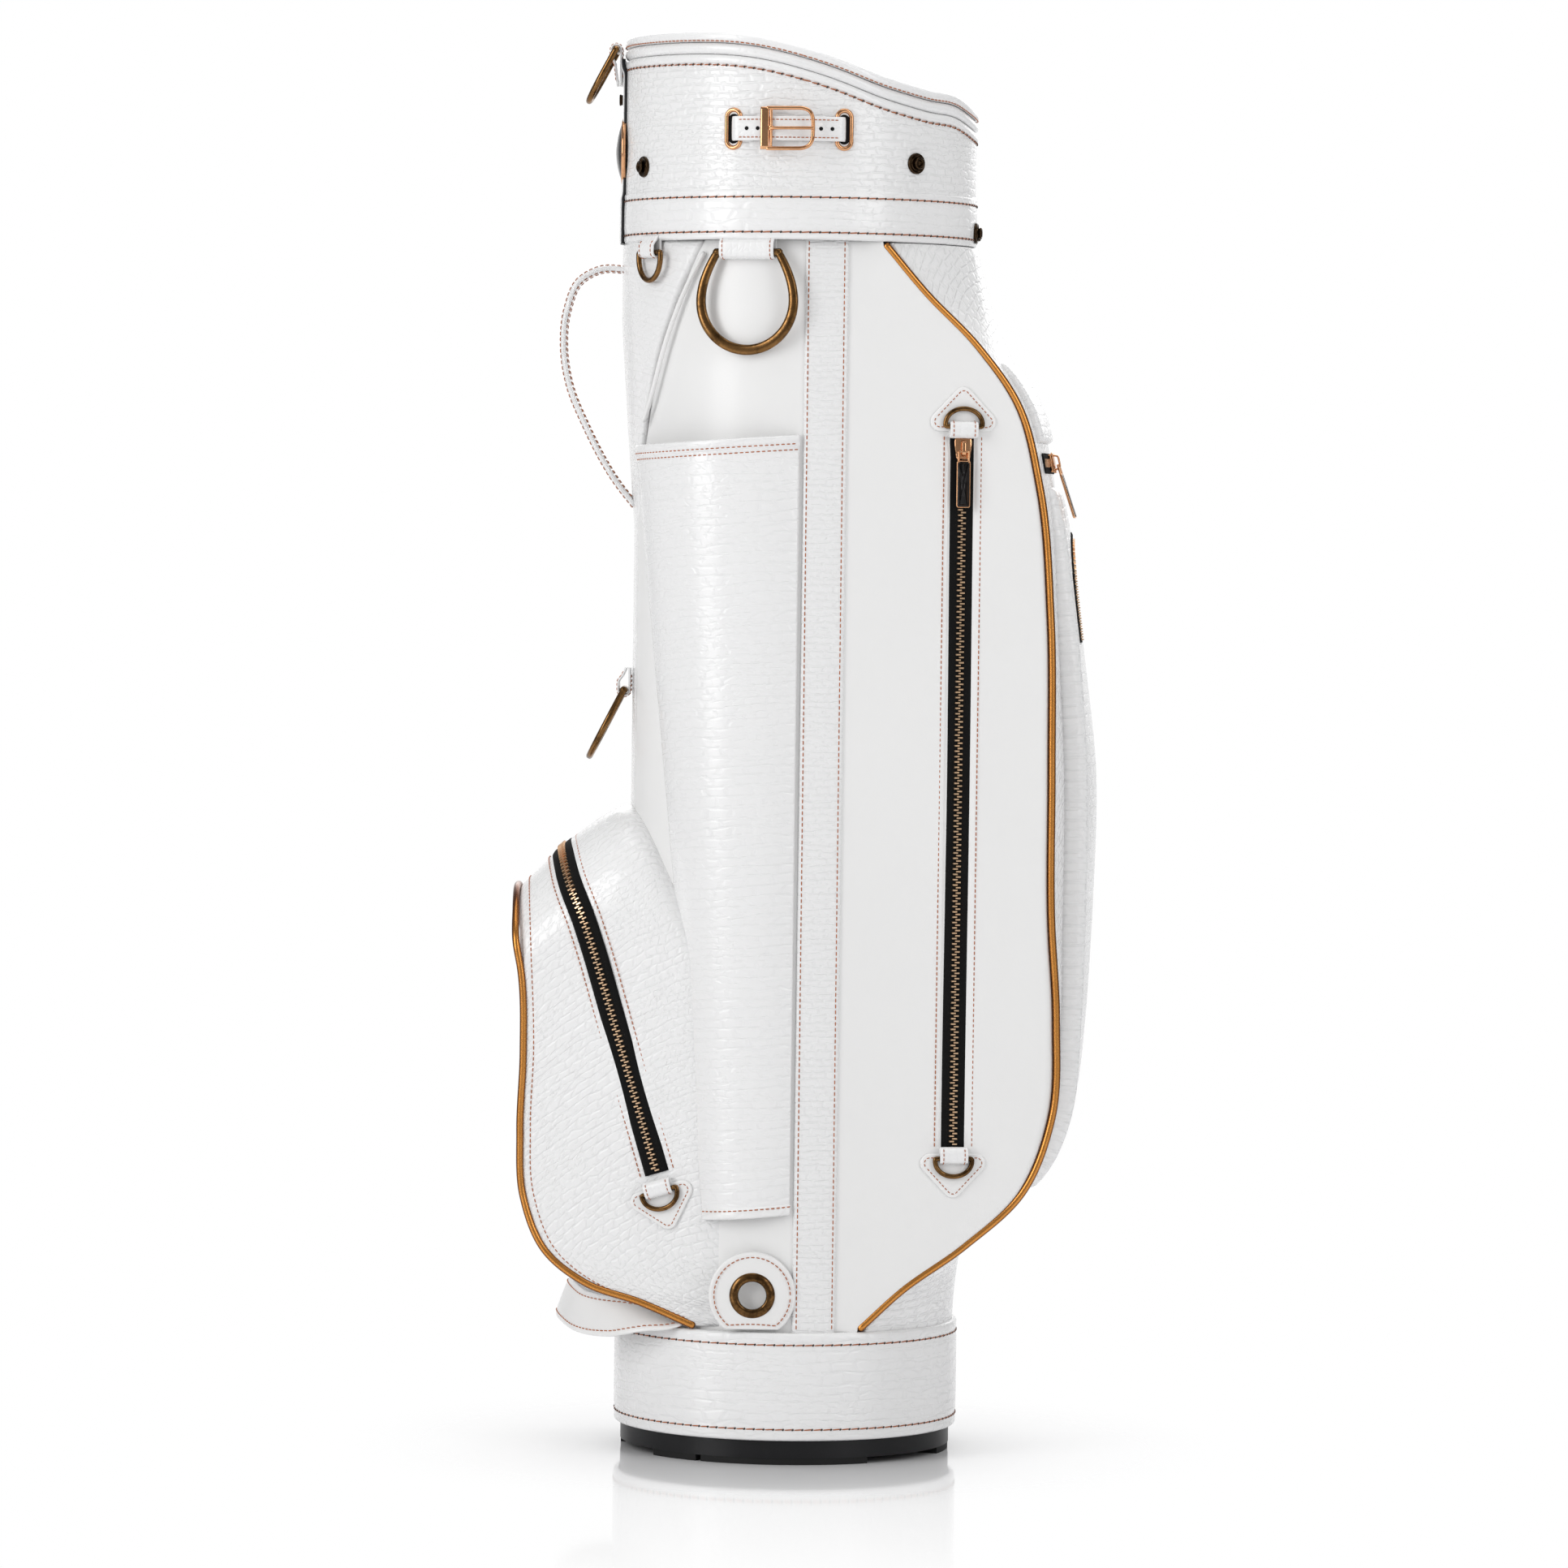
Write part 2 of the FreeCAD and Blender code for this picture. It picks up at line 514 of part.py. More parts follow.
# ---- umbrella sleeve and tab ------------------------------------------------------------------------
def umbrella():
    def section(left, left_y, middle, middle_y, z):
        """The sleeve across: an arched front panel from its fold on the tube to the side strip."""
        right, right_y, wall = 1.6, -104.4, 1.7
        outer = Part.Arc(V(left, left_y, z), V(middle, middle_y, z), V(right, right_y, z)).toShape()
        inner = Part.Arc(V(right, right_y + wall, z), V(middle + 0.8, middle_y + wall, z), V(left + wall, left_y + 0.6, z))
        ends = [V(right, right_y, z), V(right, right_y + wall, z)]
        fold = [V(left + wall, left_y + 0.6, z), V(left + 14, left_y + 4, z), V(left + 12, left_y + 10, z), V(left, left_y, z)]
        lines = [Part.LineSegment(p, q).toShape() for p, q in zip(fold, fold[1:])]
        return Part.Wire([outer, Part.LineSegment(*ends).toShape(), inner.toShape()] + lines)

    wide = section(-103.8, -39.0, -66.0, -98.0, 660)
    narrow = section(-50.4, -94.0, -24.0, -108.6, 130)
    sleeve = Part.makeLoft([wide, narrow], True, True)
    mouth = prism([(-120, 600), (-120, 625.5), (30, 636), (30, 600), (30, 157.0), (-120, 143.5)], -130, -20)
    sleeve = sleeve.common(mouth).cut(spine_block(0.15))
    sleeve = sleeve.cut(RESULT["ball"]).cut(moved(RESULT["ball"], y=-0.3))
    save("umbrella_sleeve", max(sleeve.Solids, key=lambda part: part.Volume))

    y_tab, half_t = -104.95, 1.1
    head = rod((TAB_X, y_tab - half_t, TAB_Z), (0, 1, 0), 2 * half_t, 27.0)
    stem = prism([(TAB_X - 24, TAB_Z - 8), (TAB_X + 24, TAB_Z - 8), (TAB_X + 17, 83.6), (TAB_X - 17, 83.6)], y_tab - half_t, y_tab + half_t)
    tab = head.fuse(stem).common(box(-100, 100, -120, -80, 83.6, 200))
    eye = rod((TAB_X, -120, TAB_Z), (0, 1, 0), 30, EYE_BORE + 0.8)
    save("umbrella_tab", tab.cut(eye).removeSplitter())

    flange = rod((TAB_X, y_tab - half_t - 1.9, TAB_Z), (0, 1, 0), 1.8, 14.0)
    barrel = rod((TAB_X, y_tab - half_t - 0.2, TAB_Z), (0, 1, 0), 2 * half_t + 0.3, EYE_BORE + 0.7)
    bore = rod((TAB_X, -120, TAB_Z), (0, 1, 0), 30, EYE_BORE)
    save("umbrella_eyelet", flange.fuse(barrel).cut(bore).removeSplitter())


TAB_X, TAB_Z = -20.8, 104.8
EYE_BORE = 8.6

# ---- apparel pocket ---------------------------------------------------------------------------------
# Its side panels are flat. Each starts at the strip, at SIDE_X, SIDE_Y, and leans in by SIDE_LEAN.
SIDE_X, SIDE_Y = 31.5, -97.6
SIDE_LEAN = 7.4
LEAN = math.radians(SIDE_LEAN)
PIPING = [(53, 751), (78, 722), (111, 689), (136, 654), (150, 604), (158, 524), (160, 429), (161, 339)]
PIPING += [(165, 274), (163, 214), (146, 169), (110, 135), (71, 107), (46, 84)]
FRONT_APEX = [(84, 104.8), (107, 106.5), (135, 112), (169, 152), (214, 166), (274, 172.5), (339, 175.5), (429, 176)]
FRONT_APEX += [(524, 167.5), (581, 164), (619, 159.5), (654, 149.5), (669, 141.5), (689, 131.5), (722, 119), (751, 111.5)]


def on_side(shape):
    """Moves a piece made at y 0, with x measured from the strip, onto the near side panel."""
    done = turned(shape, SIDE_LEAN)
    done.translate(V(SIDE_X, SIDE_Y, 0))
    return done


def side_u(x):
    return (x - SIDE_X) / math.cos(LEAN)


def side_y(x):
    return SIDE_Y + (x - SIDE_X) * math.tan(LEAN)


def apparel_pocket():
    line = [(side_u(x), 0, z) for x, z in PIPING]
    edge = path_edges(line)
    corners = [V(*line[-1]), V(0, 0, line[-1][2]), V(0, 0, line[0][2]), V(*line[0])]
    closing = [Part.LineSegment(a, b).toShape() for a, b in zip(corners, corners[1:])]
    outline = Part.Wire(edge + closing).makeOffset2D(-PIPING_R - 0.4)
    panel = Part.Face(outline).extrude(V(0, LEATHER, 0))
    window = box(ZIP_U - ZIP_W / 2, ZIP_U + ZIP_W / 2, -1, LEATHER + 1, ZIP_LOW, ZIP_HIGH)
    near = on_side(panel.cut(window))
    save("apparel_sides", near, mirrored(near))

    piping = on_side(moved(swept(line, round_wire(PIPING_R)), y=1.2))
    save("apparel_piping", piping, mirrored(piping))

    bands = []
    for z, apex in FRONT_APEX:
        x = between([(b, a) for a, b in reversed(PIPING)], z)
        bands.append(arc_band(x, -side_y(x) - 1.2, apex, LEATHER, z, trim=PIPING_R + 0.6))
    front = Part.makeLoft(bands, True, False)
    groove = on_side(moved(swept(line, round_wire(PIPING_R + 0.25)), y=1.2))
    for other in (groove, mirrored(groove), near, mirrored(near)):
        front = front.cut(other)
    front = max(front.Solids, key=lambda part: part.Volume)
    save("apparel_front", front)

    tape = box(ZIP_U - ZIP_W / 2 + 0.1, ZIP_U + ZIP_W / 2 - 0.1, 0.9, 1.7, ZIP_LOW + 0.1, ZIP_HIGH - 0.1)
    chain = box(ZIP_U - CHAIN_W / 2, ZIP_U + CHAIN_W / 2, -CHAIN_T + 0.9, 0.9, ZIP_LOW + 3, ZIP_HIGH - 3)
    zipper = on_side(tape.fuse(chain).removeSplitter())
    save("apparel_zips", zipper, mirrored(zipper))

    tabs = []
    RESULT["front"] = front
    for z, up in ((TAB_HIGH, 1), (TAB_LOW, -1)):
        patch = zip_patch(up)
        fold = loop(8.8, 1.5, 6.0, 4.0)
        fold = fold if up > 0 else fold.mirror(V(0, 0, 0), V(0, 0, 1))
        fold = fold.mirror(V(0, 0, 0), V(0, 0, 1)).common(box(-50, 50, -50, RING_LIFT - 0.2, -9, 9))
        made = patch.fuse(moved(fold, y=-RING_LIFT)).cut(rod((-20, -RING_LIFT, 0), (1, 0, 0), 40, 1.8))
        tabs.append(on_side(moved(made.removeSplitter(), x=ZIP_U, z=z)))
    save("apparel_tabs", *tabs, *[mirrored(t) for t in tabs])

    for name, z, up in (("tab_ring_high", TAB_HIGH, 1), ("tab_ring_low", TAB_LOW, -1)):
        bow = d_ring(13.0, 12.5, 1.5)
        bow = bow.mirror(V(0, 0, 0), V(0, 0, 1)) if up > 0 else bow
        made = on_side(moved(bow, x=ZIP_U, y=-RING_LIFT, z=z))
        save(name + "_near", made)
        save(name + "_far", mirrored(made))

    slider, pull = zip_slider(), zip_pull()
    slider = on_side(moved(slider, x=ZIP_U, z=SLIDER_Z))
    pull = on_side(moved(pull, x=ZIP_U, z=SLIDER_Z))
    save("apparel_slider_near", slider)
    save("apparel_pull_near", pull)
    save("apparel_slider_far", mirrored(slider))
    save("apparel_pull_far", mirrored(pull))


ZIP_U = side_u(101.8)
ZIP_LOW, ZIP_HIGH = 196.0, 634.0
TAB_HIGH, TAB_LOW = 640.5, 189.5
SLIDER_Z = 627.0
RING_LIFT = 3.4          # from a panel's face to the bar of a ring that lies on it


def zip_patch(up):
    """Rounded triangle of leather at a zip's end, with its point away from the zip."""
    half, point, r = 16.0, 23.0, 4.0
    centres = [(-half, 0), (half, 0), (0, up * (point - 2 * r + 2))]
    corners = [rod((x, -1.5, z + up * 3.0), (0, 1, 0), 1.3, r) for x, z in centres]
    patch = corners[0]
    for c in corners[1:]:
        patch = patch.fuse(c)
    inner = [(x, z + up * 3.0) for x, z in centres]
    grown = prism(inner, -1.5, -0.2)
    edges = []
    for (x0, z0), (x1, z1) in zip(inner, inner[1:] + inner[:1]):
        length = math.hypot(x1 - x0, z1 - z0)
        nx, nz = (z1 - z0) / length * r, -(x1 - x0) / length * r
        edges.append(prism([(x0 + nx, z0 + nz), (x1 + nx, z1 + nz), (x1 - nx, z1 - nz), (x0 - nx, z0 - nz)], -1.5, -0.2))
    for e in edges + [grown]:
        patch = patch.fuse(e)
    return patch.removeSplitter()


def zip_slider(turn=0):
    """Slider at the origin of its travel: a plate and two sides over the chain, and a bridge for the pull."""
    gap = 0.35
    high = -CHAIN_T + 0.9 - gap
    top = box(-5.4, 5.4, high - 1.2, high, -6.4, 6.4)
    walls = [box(s * (CHAIN_W / 2 + gap) if s > 0 else -5.4, 5.4 if s > 0 else s * (CHAIN_W / 2 + gap), high, 0.5, -6.4, 6.4) for s in (-1, 1)]
    body = top.fuse(walls[0]).fuse(walls[1])
    body.rotate(V(0, 0, 0), V(0, 1, 0), turn)
    bridge = box(-1.4, 1.4, high - 4.2, high - 1.2, -4.6, 4.6).cut(box(-3, 3, high - 3.2, high - 1.2, -3.4, 3.4))
    return body.fuse(bridge).removeSplitter()


PULL_Z = -1.9            # the pull's pivot, below the slider's centre
PULL_Y = -CHAIN_T + 0.9 - 0.35 - 1.2 - 1.0


def zip_pull():
    """Pull tab that hangs from the slider's bridge by a round eye."""
    y = PULL_Y
    eye = rod((-3.6, y, PULL_Z), (1, 0, 0), 7.2, 0.75)
    arms = [box(s * 3.0 - 0.6, s * 3.0 + 0.6, y - 0.75, y + 0.75, PULL_Z - 6.5, PULL_Z) for s in (-1, 1)]
    plate = box(-4.3, 4.3, y - 0.75, y + 0.75, PULL_Z - 34.5, PULL_Z - 5.5)
    body = eye.fuse(arms[0]).fuse(arms[1]).fuse(plate)
    return body.removeSplitter()


# ---- pouch on the apparel pocket's front ------------------------------------------------------------
POUCH_HALF = 60.0
POUCH = [(166, 3.5), (182, 9), (207, 12), (274, 12.6), (339, 13.5), (429, 13.5), (511, 12), (560, 9), (598, 6), (606, 3.5)]
YOKE = [(632, 4.0), (654, 4.6), (672, 4.2), (681, 1.4)]
FRONT_ZIP_Z = 619.0
FRONT_ZIP_HALF = 13.6    # degrees each side of the middle
FRONT_SLIDER_AT = -9.6
FRONT_PULL_LIFT = 7.5    # the pull leans on the pouch below it
POUCH_ZIP_TOP, POUCH_ZIP_LOW, POUCH_ZIP_HALF = 570.0, 508.0, 40.0


def front_arc(z):
    """Centre and radius of the apparel pocket's front at height z."""
    x = between([(b, a) for a, b in reversed(PIPING)], z)
    half, apex = -side_y(x) - 1.2, between(FRONT_APEX, z)
    r = (half**2 + (apex - x) ** 2) / (2 * (apex - x))
    return apex - r, r


def raised(table, half, out_by, in_by):
    """A layer on the pocket's front. table gives its height over the front at each z."""
    bands = []
    for z, height in table:
        centre, r = front_arc(z)
        out, inner = r + height + out_by, r + height + in_by
        bands.append(arc_band(centre + math.sqrt(out**2 - half**2), half, centre + out, out - inner, z))
    return Part.makeLoft(bands, True, False)


def heights(table, low, high):
    """The same layer cut down to a range of z."""
    return [(low, between(table, low))] + [p for p in table if low < p[0] < high] + [(high, between(table, high))]


def flat_layer(z0, z1):
    return [(z0, 0.0), (z1, 0.0)]


def u_band(half_width, reach):
    """An inverted U in the YZ plane, carried along X. reach is how far it spreads either side of its line."""
    out, r = POUCH_ZIP_HALF + reach, 26.0 + reach
    block = box(100, 230, -out, out, POUCH_ZIP_LOW, POUCH_ZIP_TOP + reach)
    block = block.makeFillet(r, [e for e in block.Edges if is_top_edge(e, POUCH_ZIP_TOP + reach)])
    inn, r = POUCH_ZIP_HALF - reach, 26.0 - reach
    core = box(90, 240, -inn, inn, POUCH_ZIP_LOW - 5, POUCH_ZIP_TOP - reach)
    core = core.makeFillet(r, [e for e in core.Edges if is_top_edge(e, POUCH_ZIP_TOP - reach)])
    return block.cut(core)


def is_top_edge(edge, z):
    ends = [v.Point for v in edge.Vertexes]
    return all(abs(p.z - z) < 0.01 for p in ends) and abs(ends[0].y - ends[1].y) < 0.01


def on_front(shape, z, turn, height):
    """Moves a piece made facing -Y onto the pocket's front, turned round the front's own axis."""
    centre, r = front_arc(z)
    lean = math.degrees(math.atan2(between(FRONT_APEX, z - 6) - between(FRONT_APEX, z + 6), 12))
    done = turned(shape, 90)
    done.rotate(V(0, 0, 0), V(0, 1, 0), -lean)
    done.translate(V(r + height, 0, 0))
    done = turned(done, turn)
    done.translate(V(centre, 0, z))
    return done


def pouch():
    front = RESULT["front"]
    body = raised(POUCH, POUCH_HALF, 0, -30).cut(raised([(0.0 + z, 0.0) for z, h in POUCH], 90, 0.5, -60))
    core = raised([(z, h) for z, h in heights(POUCH, 169, 603)], POUCH_HALF - LEATHER, -LEATHER, -30)
    body = body.cut(core).cut(front)
    save("front_pouch", max(body.Solids, key=lambda part: part.Volume))

    yoke = raised(YOKE, POUCH_HALF + 8, 0, -8).cut(raised([(620, 0.0)] + [(z, 0.0) for z, h in YOKE] + [(689, 0.0)], 90, 0.5, -60))
    yoke = yoke.cut(front)
    save("front_yoke", max(yoke.Solids, key=lambda part: part.Volume))

    tape = front_sector(-ZIP_W / 2 + 1.5, ZIP_W / 2 - 1.5, 0.4, 1.2)
    chain = front_sector(-CHAIN_W / 2, CHAIN_W / 2, 1.2, 1.2 + CHAIN_T, FRONT_ZIP_HALF - 0.6)
    shell = raised(POUCH, POUCH_HALF - 5, 1.1, 0.3).common(u_band(0, ZIP_W / 2 - 1.5))
    teeth = raised(POUCH, POUCH_HALF - 5, 1.1 + CHAIN_T, 1.1).common(u_band(0, CHAIN_W / 2))
    save("front_zips", *tape.fuse(chain).Solids, *shell.fuse(teeth).removeSplitter().Solids)

    save("front_slider", on_front(zip_slider(turn=90), FRONT_ZIP_Z, FRONT_SLIDER_AT, 1.2 + 0.9))
    pull = zip_pull()
    pull.rotate(V(0, PULL_Y, PULL_Z), V(1, 0, 0), -FRONT_PULL_LIFT)
    save("front_pull", on_front(pull, FRONT_ZIP_Z, FRONT_SLIDER_AT, 1.2 + 0.9))


def front_sector(low, high, from_face, to_face, half=FRONT_ZIP_HALF):
    """Part of the leaning round band that follows the front at the upper zip."""
    rings = []
    for face in (from_face, to_face):
        rounds = []
        for dz in (low, high):
            centre, r = front_arc(FRONT_ZIP_Z)
            slope = (between(FRONT_APEX, FRONT_ZIP_Z - 6) - between(FRONT_APEX, FRONT_ZIP_Z + 6)) / 12
            rounds.append(r + face - slope * dz)
        rings.append(Part.makeCone(rounds[0], rounds[1], high - low, V(0, 0, low), V(0, 0, 1), 2 * half))
    done = turned(rings[1].cut(rings[0]), -half)
    done.translate(V(front_arc(FRONT_ZIP_Z)[0], 0, FRONT_ZIP_Z))
    return done


# ---- ball pocket ------------------------------------------------------------------------------------
# Its side panels are flat and lean in towards its front. They start at BALL_X0 with half width BALL_W0.
BALL_X0, BALL_W0, BALL_LEAN = -60.0, 88.0, 14.0
BALL_EDGE = [(-177, 385), (-171, 352), (-167, 300), (-165, 250), (-166.5, 200), (-164, 160)]
BALL_EDGE += [(-150, 127), (-125, 108), (-90, 97), (-57, 84)]
BALL_TOP = [(-180, 338), (-170, 350), (-145, 374.5), (-120, 393.5), (-104, 403.5), (-88, 400), (-74, 386), (-40, 372)]
BALL_ZIP = [(-160, 430), (-144, 376), (-137.7, 355), (-129, 336), (-120.5, 311), (-79.2, 172.6)]
BALL_ZIP_LEAN = math.degrees(math.atan2((120.5 - 79.2) / math.cos(math.radians(BALL_LEAN)), 311 - 172.6))
BALL_TAB = (-78.6, 166.5)
BALL_SLIDER_Z = 216.0


def on_ball(shape):
    """Moves a piece made at y 0, with x measured from BALL_X0, onto the near side panel."""
    done = turned(shape, -BALL_LEAN)
    done.translate(V(BALL_X0, -BALL_W0, 0))
    return done


def ball_u(x):
    return (x - BALL_X0) / math.cos(math.radians(BALL_LEAN))


def arch(x, inset):
    """Upright section at x: square at the foot, round at the top."""
    w = BALL_W0 + math.tan(math.radians(BALL_LEAN)) * (x - BALL_X0) - inset
    top, low, flat = between(BALL_TOP, x) - inset, 60, 9.0
    r = w - flat
    turn = r * (1 - math.sqrt(0.5))
    near = [V(x, -w, low), V(x, -w, top - r), V(x, -w + turn, top - turn), V(x, -flat, top)]
    far = [V(x, -p.y, p.z) for p in reversed(near)]
    edges = [
        Part.LineSegment(near[0], near[1]).toShape(),
        Part.Arc(near[1], near[2], near[3]).toShape(),
        Part.LineSegment(near[3], far[0]).toShape(),
        Part.Arc(far[0], far[1], far[2]).toShape(),
        Part.LineSegment(far[2], far[3]).toShape(),
        Part.LineSegment(far[3], near[0]).toShape(),
    ]
    return Part.Wire(edges)


def arches(inset):
    return Part.makeLoft([arch(x, inset) for x, z in BALL_TOP], True, True)


def front_of_ball(inset):
    """The space behind the ball pocket's front edge, moved in by inset."""
    edge = path_edges([(x, 0, z) for x, z in BALL_EDGE])
    corners = [V(x, 0, z) for x, z in (BALL_EDGE[-1], (-30, 80), (-30, 470), (-177, 470), BALL_EDGE[0])]
    lines = [Part.LineSegment(a, b).toShape() for a, b in zip(corners, corners[1:])]
    wire = Part.Wire(edge + lines)
    if inset:
        wire = wire.makeOffset2D(-inset)
    face = Part.Face(wire)
    face.translate(V(0, -FAR / 2, 0))
    return face.extrude(V(0, FAR, 0))


def zip_band(points, half, closed_top=True):
    """A band of the XZ plane that follows a line, carried along Y."""
    left, right = [], []
    for k, (x, z) in enumerate(points):
        x0, z0 = points[max(0, k - 1)]
        x1, z1 = points[min(len(points) - 1, k + 1)]
        length = math.hypot(x1 - x0, z1 - z0)
        nx, nz = (z1 - z0) / length, -(x1 - x0) / length
        left.append((x + nx * half, z + nz * half))
        right.append((x - nx * half, z - nz * half))
    return prism(left + right[::-1], -FAR / 2, FAR / 2)


def ball_pocket():
    tube = disc(SKIN_OUT + 0.3, 0, 500).fuse(disc(BAND_OUT + 0.3, 0, BAND_TOP + 0.4))
    outer, inner = arches(0), arches(LEATHER)
    behind, hollow = front_of_ball(0), front_of_ball(LEATHER)

    cord = [(x, 0, z) for x, z in BALL_EDGE]
    lines = ball_cord_points()
    piping = swept(lines, round_wire(PIPING_R)).cut(tube)
    groove = swept(lines, round_wire(PIPING_R + 0.25))
    save("ball_piping", max(piping.Solids, key=lambda s: s.Volume))

    RESULT["ball"] = outer.common(behind)
    front = RESULT["ball"].cut(hollow).cut(tube).cut(groove)
    save("ball_front", max(front.Solids, key=lambda s: s.Volume))
    gusset = outer.common(front_of_ball(LEATHER + 0.3)).cut(inner).cut(tube).cut(groove)
    save("ball_gusset", max(gusset.Solids, key=lambda s: s.Volume))

    limit = box(-200, -30, -120, 120, 175.0, 450)
    tape = arches(-1.1).cut(arches(-0.3)).common(zip_band(BALL_ZIP, ZIP_W / 2 - 0.4)).common(limit)
    limit = box(-200, -30, -120, 120, 177.5, 450)
    chain = arches(-1.1 - CHAIN_T).cut(arches(-1.1)).common(zip_band(BALL_ZIP, CHAIN_W / 2)).common(limit)
    save("ball_zip", *tape.fuse(chain).removeSplitter().Solids)

    patch = zip_patch(-1)
    fold = loop(8.8, 1.5, 6.0, 4.0).common(box(-50, 50, -50, RING_LIFT - 0.2, -9, 9))
    made = patch.fuse(moved(fold, y=-RING_LIFT)).cut(rod((-20, -RING_LIFT, 0), (1, 0, 0), 40, 1.8))
    made = on_ball(along_zip(made.removeSplitter(), *BALL_TAB))
    save("ball_tabs", made, mirrored(made))
    bow = on_ball(along_zip(moved(d_ring(13.0, 12.5, 1.5), y=-RING_LIFT), *BALL_TAB))
    save("ball_ring_near", bow)
    save("ball_ring_far", mirrored(bow))

    x = -79.2 - (BALL_SLIDER_Z - 172.6) * (120.5 - 79.2) / (311 - 172.6)
    for name, piece in (("ball_slider", zip_slider()), ("ball_pull", zip_pull())):
        save(name, mirrored(on_ball(along_zip(moved(piece, x=0.57, y=-2.0), x, BALL_SLIDER_Z))))


def along_zip(shape, x, z):
    """Turns a piece in the plane of the panel to follow the zip's straight run, then moves it there."""
    done = shape.copy()
    done.rotate(V(0, 0, 0), V(0, 1, 0), -BALL_ZIP_LEAN)
    return moved(done, x=ball_u(x), z=z)


def ball_cord_points():
    """The piping: up the near side of the front, over its round top and down the far side."""
    near = []
    for x, z in reversed(BALL_EDGE[2:]):
        near.append((x, -(BALL_W0 + math.tan(math.radians(BALL_LEAN)) * (x - BALL_X0)), z))
    w = -near[-1][1]
    near += [(-170.3, -w + 1.5, 318), (-171.2, -w + 18, 338), (-171.6, -w + 40, 348.5)]
    return near + [(-171.6, 0, 350.5)] + [(x, -y, z) for x, y, z in reversed(near)]


base()
inside()
cuff()
buckle()
skin()
rings()
ball_pocket()
handles()
umbrella()
apparel_pocket()
pouch()
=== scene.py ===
import math

import bpy
import numpy as np
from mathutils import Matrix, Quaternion, Vector


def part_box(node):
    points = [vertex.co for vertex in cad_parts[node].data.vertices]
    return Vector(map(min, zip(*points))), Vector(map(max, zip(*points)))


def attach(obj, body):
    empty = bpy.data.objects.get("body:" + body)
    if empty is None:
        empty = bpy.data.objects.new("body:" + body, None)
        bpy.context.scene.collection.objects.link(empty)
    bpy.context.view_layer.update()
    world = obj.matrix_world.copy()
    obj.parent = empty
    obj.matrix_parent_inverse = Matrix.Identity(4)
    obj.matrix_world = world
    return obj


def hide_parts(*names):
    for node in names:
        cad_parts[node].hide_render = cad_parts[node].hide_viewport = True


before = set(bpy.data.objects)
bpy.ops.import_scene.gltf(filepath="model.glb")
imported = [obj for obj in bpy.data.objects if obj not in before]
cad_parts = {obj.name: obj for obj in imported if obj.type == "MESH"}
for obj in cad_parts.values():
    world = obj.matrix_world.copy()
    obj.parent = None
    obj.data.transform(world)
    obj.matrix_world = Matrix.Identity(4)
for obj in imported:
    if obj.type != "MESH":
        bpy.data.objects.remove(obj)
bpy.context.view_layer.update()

# ---- white crocodile leather ------------------------------------------------------------------------
# Most of the bag is white calf leather embossed with raised crocodile scales and glazed. The scales are
# a bump pattern on each piece's own flat measure, so that they follow the leather round the tube.
MM = 0.001


def add(tree, kind, ins=(), **props):
    """Adds a shader node. ins pairs an input's name or number with a value, or with a socket to link."""
    node = tree.nodes.new("ShaderNode" + kind)
    for key, value in props.items():
        setattr(node, key, value)
    for key, value in dict(ins).items():
        if isinstance(value, bpy.types.NodeSocket):
            tree.links.new(value, node.inputs[key])
        else:
            node.inputs[key].default_value = value
    return node


def new_group(name, inputs, outputs):
    """A shader node group. inputs pairs a name with a start value; outputs lists names."""
    group = bpy.data.node_groups.new(name, "ShaderNodeTree")
    for key, value in inputs:
        kind = "NodeSocketVector" if value is None else "NodeSocketFloat"
        made = group.interface.new_socket(name=key, in_out="INPUT", socket_type=kind)
        if value is not None:
            made.default_value = value
    for key in outputs:
        group.interface.new_socket(name=key, in_out="OUTPUT", socket_type="NodeSocketFloat")
    start, end = group.nodes.new("NodeGroupInput"), group.nodes.new("NodeGroupOutput")
    return group, start.outputs, end.inputs


def math_node(tree, operation, a, b=0.0, clamp=False):
    return add(tree, "Math", [(0, a), (1, b)], operation=operation, use_clamp=clamp).outputs[0]


def vector_node(tree, operation, a, b, second=1):
    return add(tree, "VectorMath", [(0, a), (second, b)], operation=operation).outputs[0]


